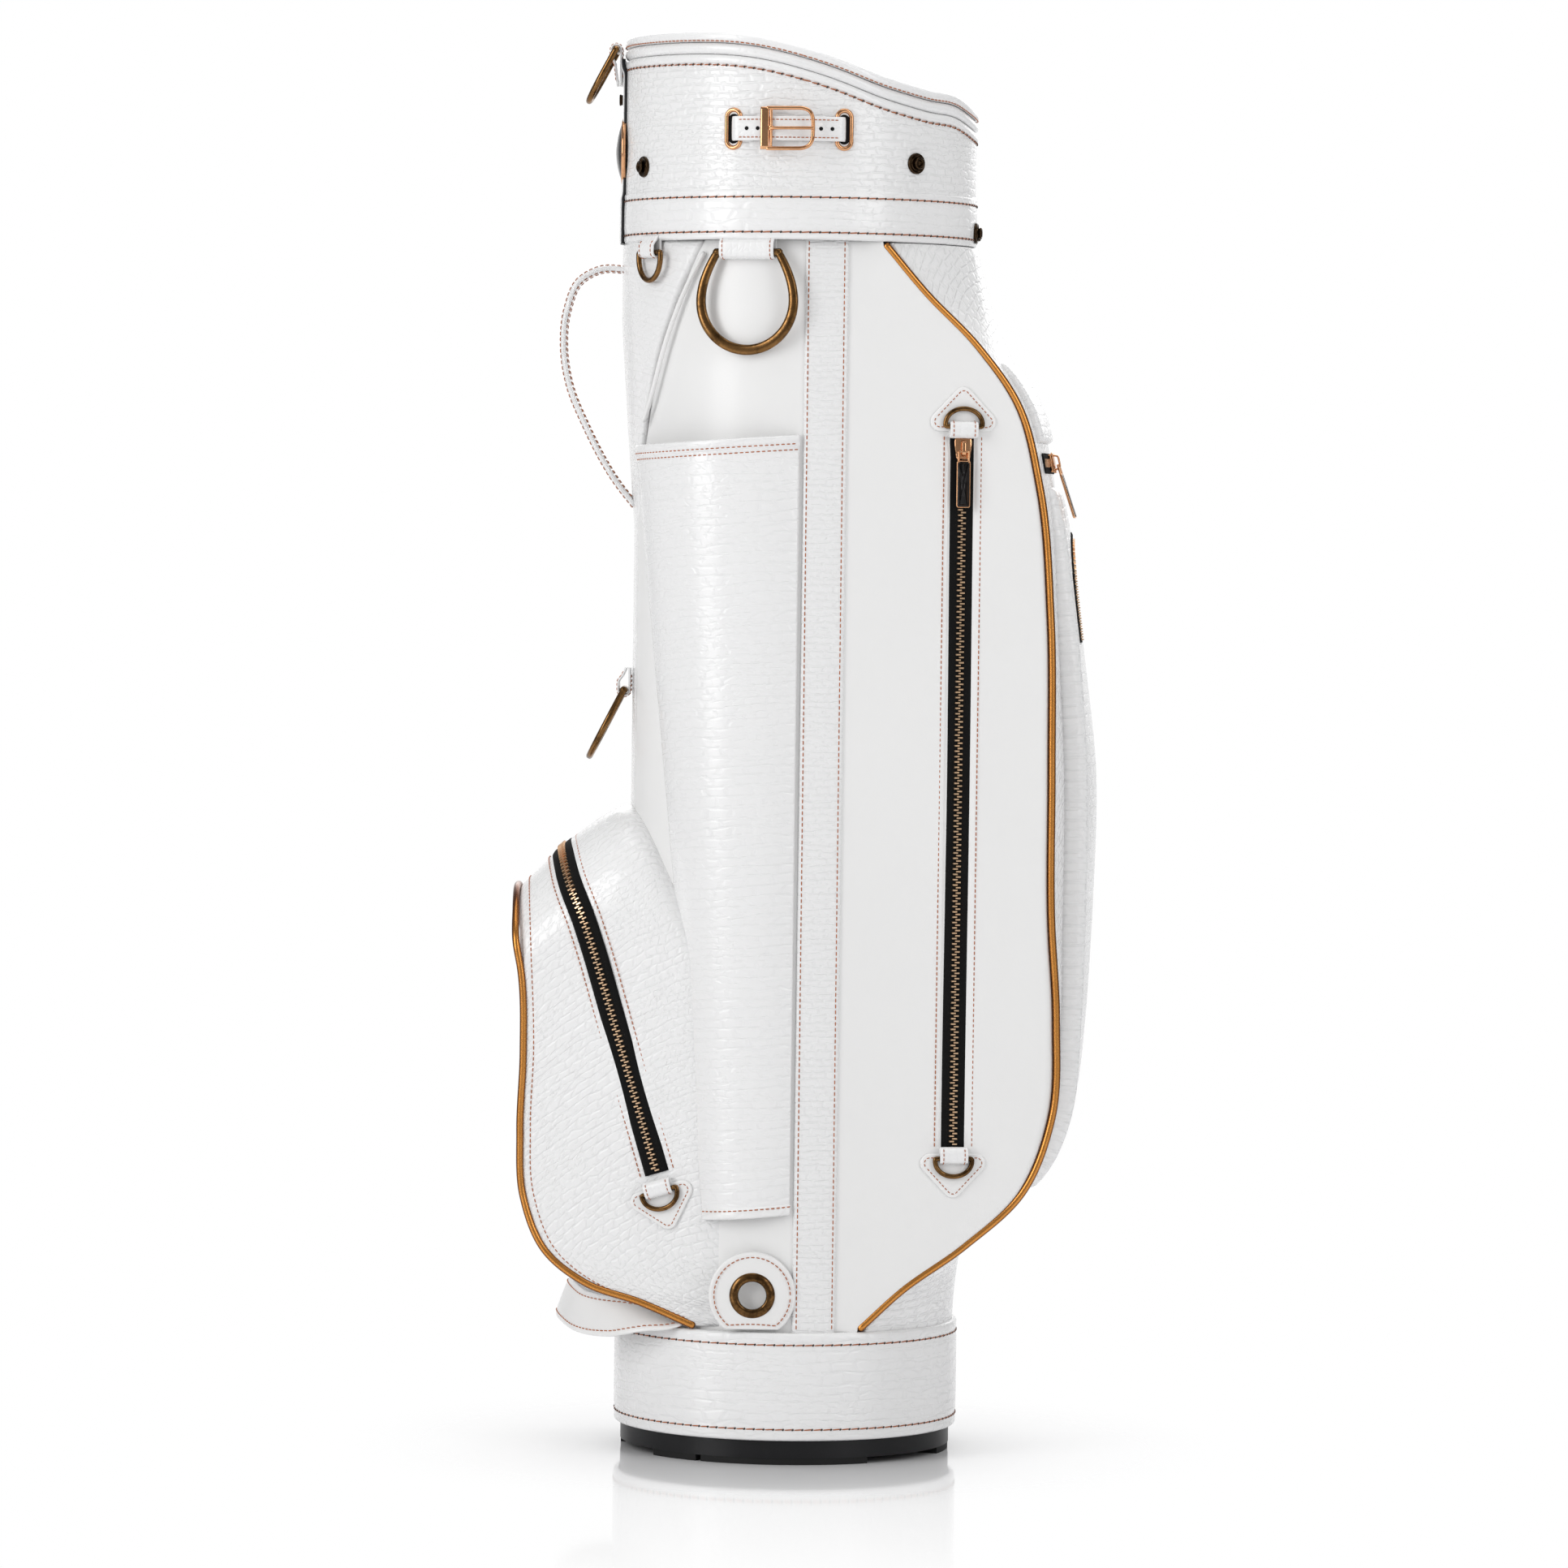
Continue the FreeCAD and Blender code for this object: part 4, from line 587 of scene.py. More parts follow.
rim_roll("rim_binding_top", 102.9, 8.0, 3.6, 3.6, 40, 3.0, hides=["rim_binding"])
rim_roll("rim_welt_upper", 107.3, 3.4, 1.5 * RIM_ROLL + 0.1, 3.5)
rim_roll("rim_welt_lower", 107.3, 3.4, 2.5 * RIM_ROLL + 0.1, 3.5)
turn = np.linspace(0, TURN, 900)
rim_rows = (("rim_stitching", 110.0, 2.95 * RIM_ROLL, heavy_row), ("rim_fine_stitching", 110.35, 6.1, fine_row))
for name, r_thread, drop, make in rim_rows:
    make(name, [(on_tube(r_thread, turn, rim_z(r_thread * np.sin(turn)) - drop), on_tube(1.0, turn, 0.0))])

# ---- slot eyelets, studs and badge ------------------------------------------------------------------
# Two oval eyelets of rose gold let the buckle strap through the cuff. Brass press studs hold a rain hood,
# and a domed black badge with a metal rim sits on the spine.


def shell(name, rings, material, body="bag", slot="antique_brass", hides=(), far=False, smooth=True, closed=False):
    """A closed surface through rings of points. Each ring joins its own end to its start; the first and last
    rings shrink to their middles, or join each other when closed."""
    rings = np.asarray(rings, float)
    if closed:
        rings = np.concatenate([rings, rings[:1]])
    else:
        first, last = rings[:1].mean(axis=1, keepdims=True), rings[-1:].mean(axis=1, keepdims=True)
        rings = np.concatenate([first + 0 * rings[:1], rings, last + 0 * rings[-1:]])
    rings = np.concatenate([rings, rings[:, :1]], axis=1)
    uv = np.stack([run_length(rings, 0), run_length(rings, 1)], axis=-1)
    faces = quads_of(*rings.shape[:2])
    return new_piece(name, rings.reshape(-1, 3), faces, uv, material, slot, body, hides, smooth, far)


def placed(points, origin, turn=0.0, lean=0.0, tip=0.0):
    """Leans local points about Y, tips them about X, turns them about Z (in degrees), and moves them."""
    for axis, degrees in (((0, 1, 0), lean), ((1, 0, 0), tip), ((0, 0, 1), turn)):
        spin = np.array(Quaternion(axis, math.radians(degrees)).to_matrix())
        points = points @ spin.T
    return points + np.array(origin, float)


def on_cuff(points, turn, r, z, **turns):
    """Moves a piece made facing -Y onto the tube at a turn in degrees."""
    return placed(points, on_tube(r, math.radians(turn), z), turn, **turns)


def lathe(profile, count=40):
    """Rings about the local -Y axis. profile lists (radius, height out from the face)."""
    turn = np.linspace(0, TURN, count, endpoint=False)
    return np.stack([np.stack([r * np.cos(turn), 0 * turn - up, r * np.sin(turn)], axis=-1) for r, up in profile])


def stadium(width, height, count=48):
    """An upright oval with round ends and straight sides, in the XZ plane, and its outward normals."""
    turn = np.linspace(0, TURN, count, endpoint=False)
    out = np.stack([np.cos(turn), 0 * turn, np.sin(turn)], axis=-1)
    shift = np.where(np.sin(turn) >= 0, 1, -1) * (height - width) / 2
    return out * width / 2 + np.stack([0 * turn, 0 * turn, shift], axis=-1), out


rose_gold = metal("metal_rose_gold", (0.78, 0.42, 0.22), (0.45, 0.2, 0.09), 0.1, 0.45)
antique_brass = metal("metal_antique_brass", (0.24, 0.125, 0.045), (0.05, 0.026, 0.01), 0.2, 0.9)
dark_bronze = metal("metal_dark_bronze", (0.05, 0.03, 0.016), (0.015, 0.009, 0.006), 0.2, 0.9)
dark_enamel = moulded("enamel_black", (0.006, 0.005, 0.005), 0.12, 300.0, 0.01)

SLOT_Z, SLOT_TURNS = 820.5, (-22.2, 13.8)
middle, out = stadium(9.0, 23.3)
SLOT_SECTION = [(1.3, -0.6), (1.3, 0.5), (0.9, 1.25), (0.1, 1.65), (-0.8, 1.4), (-1.35, 0.6), (-1.6, -1.0),
                (-1.6, -4.5)]
for k, turn in enumerate(SLOT_TURNS):
    rings = np.stack([middle + out * side - np.array([0, up, 0]) for side, up in SLOT_SECTION])
    shell(f"slot_eyelet_{k}", on_cuff(rings, turn, COVER_R, SLOT_Z), rose_gold, slot="rose_gold", closed=True,
          hides=["slot_eyelets"] if k == 0 else ())
    # A dark cloth plate fills each eyelet's opening: painted shade standing in for the dark depth of the slot.
    hole_shade = np.stack([middle * s - np.array([0, up, 0]) for s, up in ((0.78, -0.4), (0.78, 0.12))])
    shell(f"slot_shade_{k}", on_cuff(hole_shade, turn, COVER_R, SLOT_Z), cloth, slot="black_fabric")

STUD = [(6.5, -0.3), (6.5, 0.9), (6.2, 1.5), (5.7, 1.7), (5.2, 1.4), (4.7, 0.5), (3.9, 0.3), (3.3, 0.9), (3.2, 2.7)]
STUD += [(3.6, 3.3), (3.6, 3.8), (3.1, 4.2), (2.5, 4.15), (2.0, 3.6), (1.8, 2.2), (0.9, 2.0)]
STUDS = [(-62.0, 799.0, COVER_R), (40.0, 801.5, COVER_R), (81.0, 762.0, BELT_R)]
STUDS += [(180 - at, z, r) for at, z, r in STUDS] + [(-90.0, 843.0, COVER_R + 0.1)]
for k, (at, z, r) in enumerate(STUDS):
    shell(f"press_stud_{k}", on_cuff(lathe(STUD), at, r, z), dark_bronze, hides=["snap_studs"] if k == 0 else ())

BADGE_RIM = [(21.7, -0.5), (21.7, 1.3), (21.2, 2.0), (20.4, 2.3), (19.5, 2.1), (19.1, 1.4)]
BADGE_FACE = [(19.3, 0.6), (19.0, 1.7), (17.6, 2.5), (15.0, 3.5), (11.0, 4.6), (6.5, 5.4), (2.5, 5.75), (0.8, 5.8)]
shell("badge_rim", on_cuff(lathe(BADGE_RIM, 72), -90, COVER_R + 0.2, 811.0), rose_gold, slot="rose_gold", closed=True)
shell("badge_dome", on_cuff(lathe(BADGE_FACE, 72), -90, COVER_R + 0.2, 811.0), dark_enamel, slot="black_plastic",
      hides=["badge"])

# ---- cuff's spine strap -----------------------------------------------------------------------------
# A croc strap with thick black painted edges runs up the cuff over the spine and ends under the strap ring.
STRAP_HALF, EDGE_T, FACE_T = 13.0, 1.7, 0.6
for name, half, top, thick, roll, make, slot in (
        ("spine_strap_core", STRAP_HALF, EDGE_T, EDGE_T + 0.6, (0, 0, 0, 0), black_plastic, "black_plastic"),
        ("spine_strap_face", STRAP_HALF - 0.4, EDGE_T + FACE_T, FACE_T + 0.1, (1, 1, 1, 1), cuff_croc, "croc_leather")):
    z = spaced(753.0, 868.0, 2.5, 0.8)[None, :]
    turn = -math.pi / 2 + np.linspace(-1, 1, 25)[:, None] * half / BELT_R
    r = np.interp(z, [753, 781, 785, 859, 863], [BELT_R, BELT_R, COVER_R, COVER_R, 111.6]) + top
    leather(name, on_tube(r, turn, z), thick, make, 0.5, roll, slot=slot)

# ---- buckle strap -----------------------------------------------------------------------------------
# A narrow stitched strap runs between the two eyelets and through a rose gold buckle with a prong.


def rounded_bar(width, thick, count=20, flat=4.0):
    """A flat section with round edges: a superellipse of side and rise."""
    turn = np.linspace(0, TURN, count, endpoint=False)
    c, s = np.cos(turn), np.sin(turn)
    across, up = (np.sign(v) * np.abs(v) ** (2 / flat) for v in (c, s))
    return np.stack([across * width / 2, up * thick / 2], axis=-1)


def spread(points, step, soft=0.0):
    """Even stations along a broken line, with its corners averaged over soft millimetres each way."""
    points = np.asarray(points, float)
    far_along = run_length(points)
    at = np.linspace(0, far_along[-1], max(3, int(far_along[-1] / step) + 1))
    reach = np.minimum(soft, np.minimum(at, far_along[-1] - at))
    spots = at[:, None] + reach[:, None] * np.linspace(-1, 1, 9)[None, :]
    weight = np.array([1, 2, 3, 4, 5, 4, 3, 2, 1]) / 25
    return np.stack([np.interp(spots, far_along, points[:, k]) @ weight for k in range(3)], axis=1)


def sweep(path, across, section):
    """Rings of a section carried along a path. across is the section's first direction at each point."""
    path = np.asarray(path, float)
    ahead = unit(np.gradient(path, axis=0))
    across = np.broadcast_to(np.asarray(across, float), path.shape)
    across = across - ahead * np.sum(across * ahead, axis=1, keepdims=True)
    across = unit(across)
    rise = np.cross(across, ahead)
    return path[:, None] + across[:, None] * section[None, :, :1] + rise[:, None] * section[None, :, 1:]


STRAP_R, STRAP_T, STRAP_H = 113.7, 1.8, 15.0
slot_from, slot_to = SLOT_TURNS
degrees = np.concatenate([[slot_from] * 2, np.linspace(slot_from + 1.2, slot_to - 1.2, 40), [slot_to] * 2])
radii = np.concatenate([[107.0, 111.5], np.full(40, STRAP_R), [111.5, 107.0]])
line = spread(on_tube(radii, np.radians(degrees), SLOT_Z), 0.8, 2.2)
smooth_croc = croc_leather("croc_strap", 7.0, 4.0, 0.6, 0.1)
shell("buckle_strap_leather", sweep(line, (0, 0, 1), rounded_bar(STRAP_H, STRAP_T)), smooth_croc,
      slot="croc_leather", hides=["buckle_strap"])
turn = np.radians(np.linspace(SLOT_TURNS[0] + 2.5, SLOT_TURNS[1] - 2.5, 80))
rows = [(on_tube(STRAP_R + STRAP_T / 2, turn, SLOT_Z + s * 5.4), on_tube(1.0, turn, 0.0)) for s in (-1, 1)]
thread("buckle_strap_stitching", rows, fine_thread, 2.6, 2.0, 0.32)
# Each strap hole is a dark cloth disc on the strap, not cut through: painted shade standing in for the hole's depth.
for k, at in enumerate((-17.0, -13.5, 6.0, 9.5)):
    hole_shade = lathe([(1.25, -0.6), (1.25, 0.05), (0.9, 0.1)], 16)
    shell(f"buckle_strap_hole_{k}", on_cuff(hole_shade, at, STRAP_R + STRAP_T / 2, SLOT_Z), cloth, slot="black_fabric")

# ---- buckle -----------------------------------------------------------------------------------------
# The buckle is a cast rose gold frame, round at one end and straight at its heel. It swings on its heel,
# and its prong turns on a thin axle beside the heel.
BUCKLE_TURN = -12.7
BUCKLE_R = STRAP_R + STRAP_T / 2 + 0.3


def wire(name, points, radius, material, step=1.0, soft=0.0, place=None, count=16, loop=False, **kinds):
    """A round wire along smoothed points. place moves the finished rings."""
    points = np.asarray(points, float)
    if loop:
        points = np.concatenate([points, points[:1]])
    path = spread(points, step, soft)
    spread_out = path - path.mean(axis=0)
    across = np.linalg.svd(spread_out, full_matrices=False)[2][2]
    turn = np.linspace(0, TURN, count, endpoint=False)
    section = radius * np.stack([np.cos(turn), np.sin(turn)], axis=-1)
    rings = sweep(path, across, section)
    if loop:
        rings = rings[:-1]
    else:
        caps = [path[k:][:1, None] + 0.55 * (rings[k:][:1] - path[k:][:1, None]) for k in (0, -1)]
        rings = np.concatenate([caps[0], rings, caps[1]])
        ahead = path[1] - path[0], path[-1] - path[-2]
        rings[0] -= unit(ahead[0]) * radius * 0.5
        rings[-1] += unit(ahead[1]) * radius * 0.5
    rings = place(rings) if place else rings
    return shell(name, rings, material, closed=loop, **kinds)


def on_buckle(points):
    return placed(points, (0, 0, SLOT_Z), BUCKLE_TURN)


heel_y = -BUCKLE_R - 1.0
corner = [(5.2 + 0.2, 12.3), (27.0, 12.3), (31.2, 10.8), (33.2, 7.0), (33.5, 0.0)]
loop_points = [(x, heel_y, z) for x, z in corner] + [(x, heel_y, -z) for x, z in reversed(corner[:-1])]
loop_points = [(4.6, heel_y, 12.3)] + loop_points + [(4.6, heel_y, -12.3)]
wire("buckle_loop", loop_points, 1.2, rose_gold, 0.8, 3.0, on_buckle, body="buckle_frame", slot="rose_gold",
     hides=["buckle_frame"])
heel = sweep(np.array([(3.2, heel_y, z) for z in np.linspace(-12.9, 12.9, 12)]), (1, 0, 0), rounded_bar(5.4, 2.2))
shell("buckle_heel", on_buckle(heel), rose_gold, "buckle_frame", "rose_gold")
axle = [(7.1, heel_y + 0.1, z) for z in (-11.6, 0, 11.6)]
wire("buckle_axle", axle, 0.85, rose_gold, 1.0, 0.0, on_buckle, 12, body="buckle_frame", slot="rose_gold")
prong = [(7.1, heel_y - 1.3, 0), (12, heel_y - 1.9, 0), (24, heel_y - 1.9, 0), (33.4, heel_y - 1.7, 0)]
wire("buckle_prong_pin", prong, 1.0, rose_gold, 0.8, 2.0, on_buckle, body="buckle_prong", slot="rose_gold",
     hides=["buckle_prong"])
collar = np.array([(7.1, heel_y + 0.1, z) for z in (-1.3, -1.1, 1.1, 1.3)])
collar = sweep(collar, (1, 0, 0), rounded_bar(3.4, 3.2, 20, 2.2))
shell("buckle_prong_collar", on_buckle(collar), rose_gold, "buckle_prong", "rose_gold")

# ---- leather on the tube ----------------------------------------------------------------------------
# Smooth calf panels cover the tube's sides, a thick croc strip runs down each side, and a padded croc
# panel covers the spine. Two leather welts run down the edges of its broad top.


def smooth_leather_material(name, light, grain=1400.0):
    """Smooth white calf: pores and soft pull lines under a light glaze."""
    made, tree, shader = new_material(name)
    place = add(tree, "TexCoord").outputs["UV"]
    pores = math_node(tree, "MULTIPLY", grain_height(tree, place, grain), 0.18)
    pull = add(tree, "TexNoise", [("Vector", place), ("Scale", 28.0), ("Detail", 3.0)]).outputs["Fac"]
    bumps(tree, shader, math_node(tree, "ADD", pores, pull), 0.6, 0.35 * MM)
    drive(tree, shader, Base_Color=soft_tint(tree, place, light, tuple(0.95 * c for c in light)),
          Roughness=add(tree, "MapRange", [(0, pull), (3, 0.3), (4, 0.42)]).outputs[0])
    shader.inputs["Coat Weight"].default_value = 0.15
    shader.inputs["Coat Roughness"].default_value = 0.2
    return made


calf = smooth_leather_material("leather_calf_white", (0.87, 0.868, 0.862))
strip_croc = croc_leather("croc_strip", 9.0, 4.4, 0.3, 0.28, 0.25)
spine_croc = croc_leather("croc_spine", 14.0, 5.5, 0.55)

SKIN_R, STRIP_R, SKIN_TOP, SKIN_LOW = 101.5, 103.6, 756.0, 76.0
STRIP_TURNS = np.radians([2.0, 17.4])
SPINE_EDGE = [(-98.6, 0), (-98.6, 590), (-97, 628), (-93, 660), (-86, 690), (-74.5, 722), (-62, 746), (-53, 760)]
SIDES = (("near", False), ("far", True))


def on_near(far, *nodes):
    """The nodes that a pair of pieces stands for, named by its near piece only."""
    return () if far else nodes



def read_table(pairs, z, soft=0.0):
    """The second value of (value, z) pairs at z, with its corners averaged over soft millimetres."""
    at, value = [b for a, b in pairs], [a for a, b in pairs]
    if at[0] > at[-1]:
        at, value = at[::-1], value[::-1]
    return sum(np.interp(z + soft * k, at, value) * w for k, w in ((-1, 1), (-0.5, 2), (0, 3), (0.5, 2), (1, 1))) / 9


def spine_circle(z):
    """Centre x and radius of the padded spine at height z."""
    t = np.clip((z - 575.0) / 128.0, 0, 1)
    return -16.0 * t, 101.45 - 7.25 * t


heights = spaced(SKIN_LOW, SKIN_TOP, 5.0, 2.0)
for side, far in SIDES:
    turn = STRIP_TURNS[0] + (STRIP_TURNS[1] - STRIP_TURNS[0]) * spaced(0, 27.8, 1.4, 2.0)[:, None] / 27.8
    leather(f"side_strip_leather_{side}", on_tube(STRIP_R, turn, heights[None, :]), 3.2, strip_croc, 1.6, far=far,
            hides=on_near(far, "side_strips"))
    z = heights[None, :]
    seam_x = read_table(SPINE_EDGE, z, 14)
    first = np.arctan2(seam_x + 0.5, np.sqrt(SKIN_R**2 - seam_x**2)) - 0.02
    turn = first + (math.radians(4.5) - first) * np.linspace(0, 1, 60)[:, None]
    leather(f"valley_panel_leather_{side}", on_tube(SKIN_R, turn, z), 3.0, calf, 1.0, (1, 0, 1, 1), far=far,
            hides=on_near(far, "valley_panels"))
    rows = []
    for low_turn, high_turn in ((3.15, 3.6), (15.45, 15.9)):
        z = np.linspace(SKIN_TOP - 3, 84, 500)
        turn = np.radians(np.interp(z, [84, SKIN_TOP], [high_turn, low_turn]))
        rows.append((on_tube(STRIP_R, turn, z), on_tube(1.0, turn, 0 * z)))
    thread(f"side_strip_stitching_{side}", rows, fine_thread, 3.6, 2.7, 0.34, far=far)

z = np.linspace(SKIN_LOW, SKIN_TOP, 150)[None, :]
centre, r = spine_circle(z)
half = np.arccos(np.clip(-(read_table(SPINE_EDGE, z, 14) - centre) / r, -1, 1))
turn = half * np.linspace(-1, 1, 71)[:, None]
pad_swell = 0.5 * np.cos(turn / half * math.pi / 2) * np.clip((z - 575) / 60, 0, 1)
spine = grid_of(centre - (r + pad_swell) * np.cos(turn), -(r + pad_swell) * np.sin(turn), z)
spine_pad = leather("spine_panel_leather", spine[::-1], 3.0, spine_croc, 2.0, hides=["spine_panel"])
cord = [(-59.0, 750.0), (-59.0, 745), (-71.5, 721), (-83, 689), (-90, 659), (-95.4, 642)]
for side, far in SIDES:
    x, z = np.array(cord).T
    centre, r = spine_circle(z)
    points = np.stack([x, -np.sqrt(np.maximum((r + 1.4) ** 2 - (x - centre) ** 2, 1)), z], axis=1)[1:]
    wire(f"spine_welt_{side}", points, 1.5, calf, 2.0, 20.0, slot="smooth_leather", far=far,
         hides=on_near(far, "spine_welts"))

# ---- rings and their loops --------------------------------------------------------------------------
# Antique brass rings hang in folded leather loops: a broad towel ring and a small ring under the cuff,
# and two rings on the spine for a shoulder strap.


def turned(place, directions):
    """Directions turned as a place function turns points."""
    return place(directions) - place(np.zeros((1, 3)))


def folded_loop(name, half, bar_r, up, place, far=False, hides=(), gap=0.35, thick=1.6):
    """A strap folded round a bar at the origin. Its path goes up behind, round below the bar and up in front."""
    r = bar_r + gap + thick / 2
    turn = np.linspace(-math.pi / 2 - 0.1, math.pi / 2 + 0.1, 15)
    fold = [(0, -r * math.sin(t), -r * math.cos(t)) for t in turn]
    back = [(0, r * 0.98, up), (0, r, up * 0.4)]
    front = [(0, -r, 1.6 * r), (0, -r * 0.2, min(up, 2.6 * r)), (0, r * 0.35, up)]
    path = spread(back + fold + front, 0.7, 1.2)
    section = rounded_bar(2 * half, thick, 24, 5.0)
    shell(name, place(sweep(path, (1, 0, 0), section)), smooth_croc, slot="croc_leather", hides=hides, far=far)
    rows = []
    for s in (-1, 1):
        inner = path[6:-4] + (s * (half - 2.2), 0, 0)
        normal = unit(np.cross((1, 0, 0), np.gradient(inner, axis=0)))
        normal *= np.sign(np.sum(normal * (inner - [0, 0, 2.0]), axis=1, keepdims=True))
        rows.append((place(inner + normal * thick / 2), turned(place, normal)))
    thread(name + "_stitching", rows, fine_thread, 2.8, 2.1, 0.3, far=far)


def horseshoe(half_width, drop, bar_half, count=90):
    """Centre line of a broad cast ring: narrow at the bar, widest at the middle and round at the foot."""
    middle = -drop + half_width
    turn = np.linspace(0, math.pi, count // 2)
    foot = np.stack([half_width * np.cos(turn), 0 * turn, middle - half_width * np.sin(turn)], axis=1)
    t = np.linspace(0, 1, count // 3)
    swell = (half_width - bar_half) * np.cos(t * math.pi / 2) ** 0.9
    side = np.stack([bar_half + swell, 0 * t, middle * (1 - t)], axis=1)
    return np.concatenate([foot, side[1:] * (-1, 1, 1)]), side


def cast_ring(name, half_width, drop, bar_half, bar_r, wide, thick, place, body, hides):
    """A horseshoe bow of domed bar, broader at its foot, joined to a round bar at the origin."""
    foot, side = horseshoe(half_width - wide / 2, drop - wide / 2, bar_half)
    path = spread(np.concatenate([side[::-1], foot[1:]]), 1.2, 4.0)
    low = np.clip(-path[:, 2] / drop, 0, 1)
    width = bar_r * 2 + (wide - bar_r * 2) * np.sin(low * math.pi / 2) ** 0.8
    section = rounded_bar(1.0, 1.0, 24, 2.6)
    rings = sweep(path, (0, 1, 0), section * (thick, 1.0))
    rings = path[:, None] + (rings - path[:, None]) * np.where([[[False, True, False]]], 1.0, width[:, None, None])
    shell(name, place(rings), antique_brass, body, hides=hides)
    line = [(-bar_half - 1.5, 0, 0), (0, 0, 0), (bar_half + 1.5, 0, 0)]
    wire(name + "_bar", line, bar_r, antique_brass, 1.5, 0, place, body=body)


def d_bow(name, half_width, drop, wire_r, place, body, hides, up=1, far=False):
    """A D-ring of round wire: a straight bar at the origin, short straight sides, and half an ellipse below."""
    w = half_width - wire_r
    side = max(drop - wire_r - 1.15 * w, 0.12 * drop)
    turn = np.linspace(0, math.pi, 25)
    foot = np.stack([-w * np.cos(turn), 0 * turn, -side - (drop - wire_r - side) * np.sin(turn)], axis=1)
    bow = np.concatenate([[(0, 0, 0), (-w, 0, 0)], foot, [(w, 0, 0)]]) * (1, 1, up)
    wire(name, bow, wire_r, antique_brass, 0.8, 1.2, place, 18, loop=True, body=body, hides=hides, far=far)


def cuff_place(at, r, z, tip=0.0):
    return lambda points: on_cuff(points, at, r, z, tip=tip)


TOWEL, SMALL = (-17.5, 106.0, 745.2), (-56.4, 111.4, 745.8)
TOP_RING, LOW_RING = (-90.0, 116.2, 874.0), (-90.0, 106.6, 474.0)
cast_ring("towel_ring_bow", 33.0, 63.0, 19.5, 2.4, 6.4, 4.2, cuff_place(*TOWEL), "towel_ring", ["towel_ring"])
cast_ring("strap_ring_low_bow", 26.0, 49.0, 14.5, 2.4, 6.0, 4.2, cuff_place(*LOW_RING, -27), "strap_ring_low",
          ["strap_ring_low"])
d_bow("small_ring_wire", 14.0, 19.0, 1.7, cuff_place(*SMALL), "small_ring", ["small_ring"])
d_bow("strap_ring_top_wire", 19.0, 38.0, 2.0, cuff_place(*TOP_RING, -28), "strap_ring_top", ["strap_ring_top"])
folded_loop("towel_ring_loop", 17.6, 2.4, SKIN_TOP - TOWEL[2], cuff_place(*TOWEL), hides=["ring_loops"])
folded_loop("small_ring_loop", 8.6, 1.7, SKIN_TOP - SMALL[2], cuff_place(*SMALL))
folded_loop("strap_ring_low_loop", 12.4, 2.4, 14.0, cuff_place(*LOW_RING))
folded_loop("strap_ring_top_loop", 11.0, 2.0, 22.0, lambda p: on_cuff(p * (1, 1, -1), *TOP_RING))

# ---- handles ----------------------------------------------------------------------------------------
# A padded carry handle bows out from the spine, and a wide grab strap loops round the foot of the ball
# pocket. Each is one domed strap with thread along both edges.


def curve(points, step):
    """A smooth line through points: cubic pieces whose slopes are the average of both neighbours'."""
    points = np.asarray(points, float)
    far_along = run_length(points)
    slope = np.gradient(points, far_along, axis=0)
    at = np.linspace(0, far_along[-1], max(3, int(far_along[-1] / step) + 1))
    k = np.clip(np.searchsorted(far_along, at, side="right") - 1, 0, len(points) - 2)
    h = (far_along[k + 1] - far_along[k])[:, None]
    t = (at - far_along[k])[:, None] / h
    start = (1 + 2 * t) * (1 - t) ** 2 * points[k] + t * (1 - t) ** 2 * h * slope[k]
    return start + t**2 * (3 - 2 * t) * points[k + 1] + t**2 * (t - 1) * h * slope[k + 1]


def strap(name, path, across, width, thick, inset, material, hides=()):
    """A domed strap along a path with a row of thread near each edge, on both faces."""
    across = np.broadcast_to(np.asarray(across, float), path.shape)
    rings = sweep(path, across, rounded_bar(width, thick, 32, 3.2))
    piece = shell(name, rings, material, slot="croc_leather", hides=hides)
    spots = np.array([(s * (width / 2 - inset), f * thick / 2 * 0.96) for s in (-1, 1) for f in (-1, 1)])
    lines = sweep(path, across, spots)
    middle = sweep(path, across, spots * (1, 0))
    rows = [(lines[:, k], lines[:, k] - middle[:, k]) for k in range(4)]
    thread(name + "_stitching", rows, fine_thread, 3.6, 2.7, 0.34)
    return piece


grip = [(-107.6, 0, 737), (-124, 0, 737), (-138, 0, 729), (-145, 0, 712), (-147, 0, 688), (-143, 0, 664)]
grip = curve(grip + [(-133, 0, 640), (-112, 0, 603), (-101.6, 0, 590)], 2.0)
strap("carry_handle_strap", grip, (0, 1, 0), 28.0, 4.0, 3.4, strip_croc, ["carry_handle"])

GRAB = [((-66, -74, 85.4), (-0.67, -0.74, -0.02)), ((-81, -76, 86), (-0.62, -0.68, -0.4)),
        ((-95, -73, 86.4), (-0.36, -0.34, -0.87)), ((-111, -64, 86), (-0.22, -0.15, -0.96)),
        ((-127, -46, 87), (-0.26, -0.06, -0.96)), ((-136.5, -22, 90.5), (-0.33, 0, -0.94))]
other = [((x, -y, z), (u, -v, w)) for (x, y, z), (u, v, w) in reversed(GRAB)]
stations = GRAB + [((-139.5, 0, 92), (-0.35, 0, -0.94))] + other
path = curve([at for at, edge in stations], 2.5)
share = np.linspace(0, len(stations) - 1, len(path))
edges = np.array([edge for at, edge in stations])
edges = np.stack([np.interp(share, range(len(stations)), edges[:, k]) for k in range(3)], axis=1)
strap("bottom_handle_strap", path, edges, 26.0, 3.4, 3.2, calf, ["bottom_handle"])

